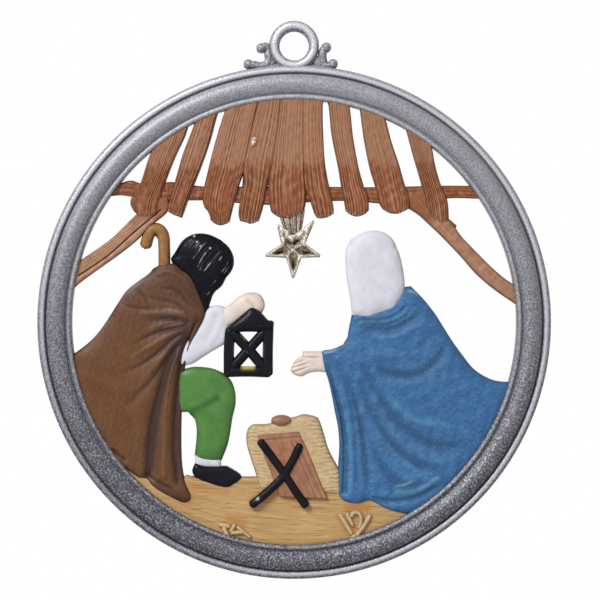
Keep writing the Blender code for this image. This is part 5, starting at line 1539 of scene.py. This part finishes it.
def model_manger(drawing):
    """The manger: hay heaped round an end board, the child's head above it, and a pair of crossed legs."""
    hay = drawing.outline(
        left=[
            (-6.3, -14.5), (-6.55, -15.5), (-6.4, -17.0), (-5.9, -18.7), (-5.4, -20.2), (-5.0, -21.5),
            (-4.6, -23.0),
        ],
        right=[
            (3.3, -13.1), (3.75, -14.2), (4.2, -15.7), (4.5, -16.8), (5.0, -18.0), (5.7, -19.3),
            (6.3, -20.5), (6.5, -23.5),
        ],
        top=[
            (-5.6, -14.0), (-3.9, -13.95), (-2.5, -13.6), (-0.6, -13.1), (0.3, -12.9), (1.2, -12.6),
            (2.4, -12.75),
        ],
    )
    relief(
        "hay", "hay", drawing, hay, 1.85, 1.2, 0.9,
        carving=hay_strands, stain=hay_shadows, pitch=(0.1, 0.08), soften=2,
    )
    board = drawing.outline(
        left=[(-5.0, -15.4), (-4.2, -17.9), (-3.0, -21.0), (-1.9, -23.8)],
        right=[(0.65, -14.9), (2.0, -17.8), (3.2, -20.8), (4.6, -24.1)],
    )
    ledge = [
        drawing.fold(0.08, 0.12, (-4.7, -16.1), (0.9, -15.6), start=0.0, end=0.0),
        drawing.fold(0.08, 0.10, (0.2, -16.0), (2.8, -21.5), (3.8, -24.0), start=0.05, end=0.0),
        drawing.fold(0.08, 0.10, (-0.4, -16.2), (2.0, -21.5), (3.0, -24.0), start=0.05, end=0.0),
    ]
    relief("end_board", "panel", drawing, board, 2.05, 1.85, 0.3, folds=ledge, pitch=(0.08, 0.12), soften=0)
    head = drawing.oval((-1.75, -13.45), 2.8, 1.5)
    relief("child_head", "panel", drawing, head, 2.35, 1.5, 0.75, pitch=(0.08, 0.08), soften=3)
    legs = [
        [(-4.5, -16.35), (-2.9, -18.5), (-1.3, -20.7), (0.2, -23.0), (1.5, -24.85)],
        [(0.75, -16.9), (-0.4, -19.2), (-1.6, -21.1), (-3.6, -23.1), (-5.65, -24.8)],
    ]
    # A painted highlight at the foot of a leg
    dot = painted(drawing.fold(1.0, 0.14, (-5.0, -24.05), (-4.9, -23.95), start=0.0, end=0.0))
    for number, path in enumerate(legs):
        name, crest = f"manger_leg_{number}", 2.6 - 0.05 * number
        add_bar(name, "black", drawing, path, 1.15, crest, edge=1.9, glint=dot)


def model_ground(drawing):
    """The ground, a shallow bank of straw along the foot of the ring, with loose tufts on it."""
    bank = drawing.outline(
        left=drawing.ring_arc(219, 222, 2),
        right=[(17.6, -24.9), *drawing.ring_arc(-55.5, -57.0, 2)],
        top=[
            (-19.0, -21.4), (-15.2, -21.2), (-14.7, -20.9), (-13.5, -21.2), (-7.2, -21.1), (0.0, -21.3),
            (10.0, -23.0), (15.0, -24.2),
        ],
        bottom=drawing.ring_arc(228, 298, 10),
    )

    def furrows(points, u, v, size):
        wander = 0.30 * ripples(points * np.array([0.2, 1.0]), 2.6, 71)
        lines = 1.0 - np.abs(np.sin(np.pi * (points[..., 1] + wander + 0.03 * points[..., 0]) / 0.6))
        broken = np.clip(0.1 + ripples(points * np.array([0.25, 1.0]), 1.2, 73), 0.0, 1.0)
        return -0.12 * broken * lines**5 + 0.01 * ripples(points * np.array([0.3, 1.0]), 0.7, 72)

    fold = drawing.fold
    rust = painted(
        fold(0.9, 0.7, (-6.0, -24.9), (-3.5, -24.0), (-1.8, -23.3), (1.0, -24.7)),
        fold(0.8, 0.8, (-15.5, -23.4), (-13.6, -24.6)),
        fold(0.8, 0.7, (-9.6, -26.8), (-7.6, -27.2), (-6.4, -28.0)),
        fold(0.9, 0.8, (6.4, -25.2), (8.6, -25.3), (10.6, -25.6)),
        fold(0.9, 0.3, (5.9, -26.4), (6.7, -27.8), (7.4, -28.9), start=0.0, end=0.0),
        fold(0.7, 0.5, (7.0, -27.4), (8.3, -28.2), (9.8, -27.3)),
        fold(0.5, 0.6, (-14.9, -21.6), (-11.5, -22.9), (-8.4, -23.0)),
    )
    relief(
        "ground", "straw", drawing, bank, 1.5, 1.2, 0.6,
        carving=furrows, stain=rust, pitch=(0.2, 0.08), soften=1,
    )
    straws = [
        (0.6, [(-10.1, -27.6), (-8.8, -27.8)]),
        (0.6, [(-9.6, -28.0), (-8.9, -29.5)]),
        (0.5, [(-8.1, -27.6), (-8.6, -28.5)]),
        (0.5, [(-8.5, -28.7), (-6.9, -28.6)]),
        (0.4, [(-7.7, -27.9), (-6.0, -29.3)]),
        (0.55, [(6.3, -26.3), (7.0, -27.4), (7.8, -28.8)]),
        (0.45, [(7.2, -26.1), (7.6, -26.9), (8.0, -27.7)]),
        (0.5, [(7.8, -26.4), (8.2, -25.95), (8.8, -26.0), (9.15, -26.8), (8.9, -28.0)]),
        (0.55, [(10.3, -26.4), (9.6, -27.6), (8.6, -29.0)]),
    ]
    for number, (width, path) in enumerate(straws):
        add_bar(f"straw_{number}", "hay", drawing, path, width + 0.15, 2.0, edge=1.5)
    knot = drawing.oval((8.2, -29.3), 1.1, 1.1)
    relief("straw_knot", "hay", drawing, knot, 2.0, 1.5, 0.55, pitch=(0.08, 0.08), soften=1)


FLOOR_DROP = 0.075
FLOOR_RADIUS = 0.42
KEY_PLACE = (-0.29, -0.38, 0.37)
KEY_POWER = 3.3
KEY_SIZE = 0.22
FILL_PLACE = (0.36, -0.40, -0.22)
FILL_POWER = 0.6
FILL_SIZE = 0.25
WORLD_STRENGTH = 0.34


def add_light(name, spot, power, size):
    target = Vector(place(0, 1, 0))
    data = bpy.data.lights.new(name, "AREA")
    data.energy = power
    data.size = size
    light = bpy.data.objects.new(name, data)
    light.location = target + Vector(spot)
    light.rotation_euler = (target - light.location).to_track_quat("-Z", "Y").to_euler()
    bpy.context.scene.collection.objects.link(light)


def set_stage():
    """A pale floor below the hanging ornament, soft lights, a white surround and the camera."""
    shape = bmesh.new()
    bmesh.ops.create_circle(shape, cap_ends=True, segments=96, radius=FLOOR_RADIUS)
    bmesh.ops.translate(shape, verts=shape.verts, vec=(0, 0, CAST_LOW.z - FLOOR_DROP))
    mesh = bpy.data.meshes.new("floor")
    shape.to_mesh(mesh)
    shape.free()
    floor = bpy.data.objects.new("floor", mesh)
    bpy.context.scene.collection.objects.link(floor)
    finish = Finish("pale_floor")
    cloud = finish.noise(40.0, detail=2.0)
    shade = finish.mix(cloud, (0.80, 0.80, 0.80), (0.83, 0.83, 0.83))
    mesh.materials.append(principled(finish, Base_Color=shade, Roughness=0.8))
    add_light("key_light", KEY_PLACE, KEY_POWER, KEY_SIZE)
    add_light("fill_light", FILL_PLACE, FILL_POWER, FILL_SIZE)
    world = bpy.data.worlds.new("white_surround")
    bpy.context.scene.world = world
    world.use_nodes = True
    tree = world.node_tree
    rays = tree.nodes.new("ShaderNodeLightPath")
    seen = rays.outputs["Is Camera Ray"]
    for kind in ("Is Glossy Ray", "Is Transmission Ray"):
        either = tree.nodes.new("ShaderNodeMath")
        either.operation = "MAXIMUM"
        tree.links.new(seen, either.inputs[0])
        tree.links.new(rays.outputs[kind], either.inputs[1])
        seen = either.outputs[0]
    level = tree.nodes.new("ShaderNodeMapRange")
    level.inputs["To Min"].default_value = WORLD_STRENGTH
    level.inputs["To Max"].default_value = 1.0
    tree.links.new(seen, level.inputs["Value"])
    background = tree.nodes["Background"]
    background.inputs["Color"].default_value = (1.0, 1.0, 1.0, 1.0)
    tree.links.new(level.outputs[0], background.inputs["Strength"])
    data = bpy.data.cameras.new("camera")
    data.lens = LENS
    data.sensor_width = SENSOR
    camera = bpy.data.objects.new("camera", data)
    distance = VIEW_WIDTH * MM * LENS / SENSOR
    camera.location = (CENTRE_X + VIEW_X * MM, -distance, CENTRE_Z + VIEW_RISE * MM)
    camera.rotation_euler = (math.radians(90), 0, 0)
    data.clip_start = 0.01
    data.clip_end = 10.0
    bpy.context.scene.collection.objects.link(camera)
    bpy.context.scene.camera = camera
    bpy.context.scene.view_settings.view_transform = "Standard"


def drawing_of(context):
    return Drawing(context.scene.ornament_sizes)


class ORNAMENT_OT_finishes(bpy.types.Operator):
    """Makes the metal and the paints"""

    bl_idname = "ornament.finishes"
    bl_label = "Metal and paints"

    def execute(self, context):
        FINISHES.update(make_finishes(context.scene.ornament_colours))
        return {"FINISHED"}


class ORNAMENT_OT_slab(bpy.types.Operator):
    """Makes the casting's flat back"""

    bl_idname = "ornament.slab"
    bl_label = "Flat back"

    def execute(self, context):
        model_slab()
        return {"FINISHED"}


class ORNAMENT_OT_ring(bpy.types.Operator):
    """Makes the moulded ring, the hanging eye and its scrolls"""

    bl_idname = "ornament.ring"
    bl_label = "Ring and eye"

    def execute(self, context):
        drawing = drawing_of(context)
        model_ring(context.scene.ornament_sizes, drawing)
        model_eye(drawing)
        return {"FINISHED"}


class ORNAMENT_OT_roof(bpy.types.Operator):
    """Makes the planks, the tie beam and the braces"""

    bl_idname = "ornament.roof"
    bl_label = "Stable roof"

    def execute(self, context):
        model_roof(drawing_of(context))
        return {"FINISHED"}


class ORNAMENT_OT_star(bpy.types.Operator):
    """Makes the star and its tail"""

    bl_idname = "ornament.star"
    bl_label = "Star"

    def execute(self, context):
        model_star(drawing_of(context))
        return {"FINISHED"}


class ORNAMENT_OT_man(bpy.types.Operator):
    """Makes the kneeling man, his cloak and his lantern"""

    bl_idname = "ornament.man"
    bl_label = "Kneeling man"

    def execute(self, context):
        drawing = drawing_of(context)
        model_man(drawing)
        model_lantern(drawing)
        model_man_cloak(drawing)
        return {"FINISHED"}


class ORNAMENT_OT_woman(bpy.types.Operator):
    """Makes the kneeling woman, her cloak and her veil"""

    bl_idname = "ornament.woman"
    bl_label = "Kneeling woman"

    def execute(self, context):
        model_woman(drawing_of(context))
        return {"FINISHED"}


class ORNAMENT_OT_manger(bpy.types.Operator):
    """Makes the manger and the ground that it stands on"""

    bl_idname = "ornament.manger"
    bl_label = "Manger and ground"

    def execute(self, context):
        drawing = drawing_of(context)
        model_manger(drawing)
        model_ground(drawing)
        return {"FINISHED"}


class ORNAMENT_OT_stage(bpy.types.Operator):
    """Sets the floor, the lights, the surround and the camera"""

    bl_idname = "ornament.stage"
    bl_label = "Stage"

    def execute(self, context):
        set_stage()
        return {"FINISHED"}


OPERATORS = (
    ORNAMENT_OT_finishes,
    ORNAMENT_OT_slab,
    ORNAMENT_OT_ring,
    ORNAMENT_OT_roof,
    ORNAMENT_OT_star,
    ORNAMENT_OT_man,
    ORNAMENT_OT_woman,
    ORNAMENT_OT_manger,
    ORNAMENT_OT_stage,
)


class ORNAMENT_PT_sidebar(bpy.types.Panel):
    """Lists the ornament's sizes, colours and pieces"""

    bl_idname = "ORNAMENT_PT_sidebar"
    bl_label = "Nativity ornament"
    bl_space_type = "VIEW_3D"
    bl_region_type = "UI"
    bl_category = "Ornament"

    def draw(self, context):
        column = self.layout.column()
        for group in (context.scene.ornament_sizes, context.scene.ornament_colours):
            for name in group.__annotations__:
                column.prop(group, name)
        for kind in OPERATORS:
            column.operator(kind.bl_idname)


CLASSES = (OrnamentSizes, OrnamentColours, *OPERATORS, ORNAMENT_PT_sidebar)


def register():
    for kind in CLASSES:
        bpy.utils.register_class(kind)
    bpy.types.Scene.ornament_sizes = PointerProperty(type=OrnamentSizes)
    bpy.types.Scene.ornament_colours = PointerProperty(type=OrnamentColours)


def unregister():
    del bpy.types.Scene.ornament_colours
    del bpy.types.Scene.ornament_sizes
    for kind in reversed(CLASSES):
        bpy.utils.unregister_class(kind)


def main():
    register()
    bpy.ops.ornament.finishes()
    bpy.ops.ornament.slab()
    bpy.ops.ornament.ring()
    bpy.ops.ornament.roof()
    bpy.ops.ornament.star()
    bpy.ops.ornament.man()
    bpy.ops.ornament.woman()
    bpy.ops.ornament.manger()
    bpy.ops.ornament.stage()


if __name__ == "__main__":
    main()
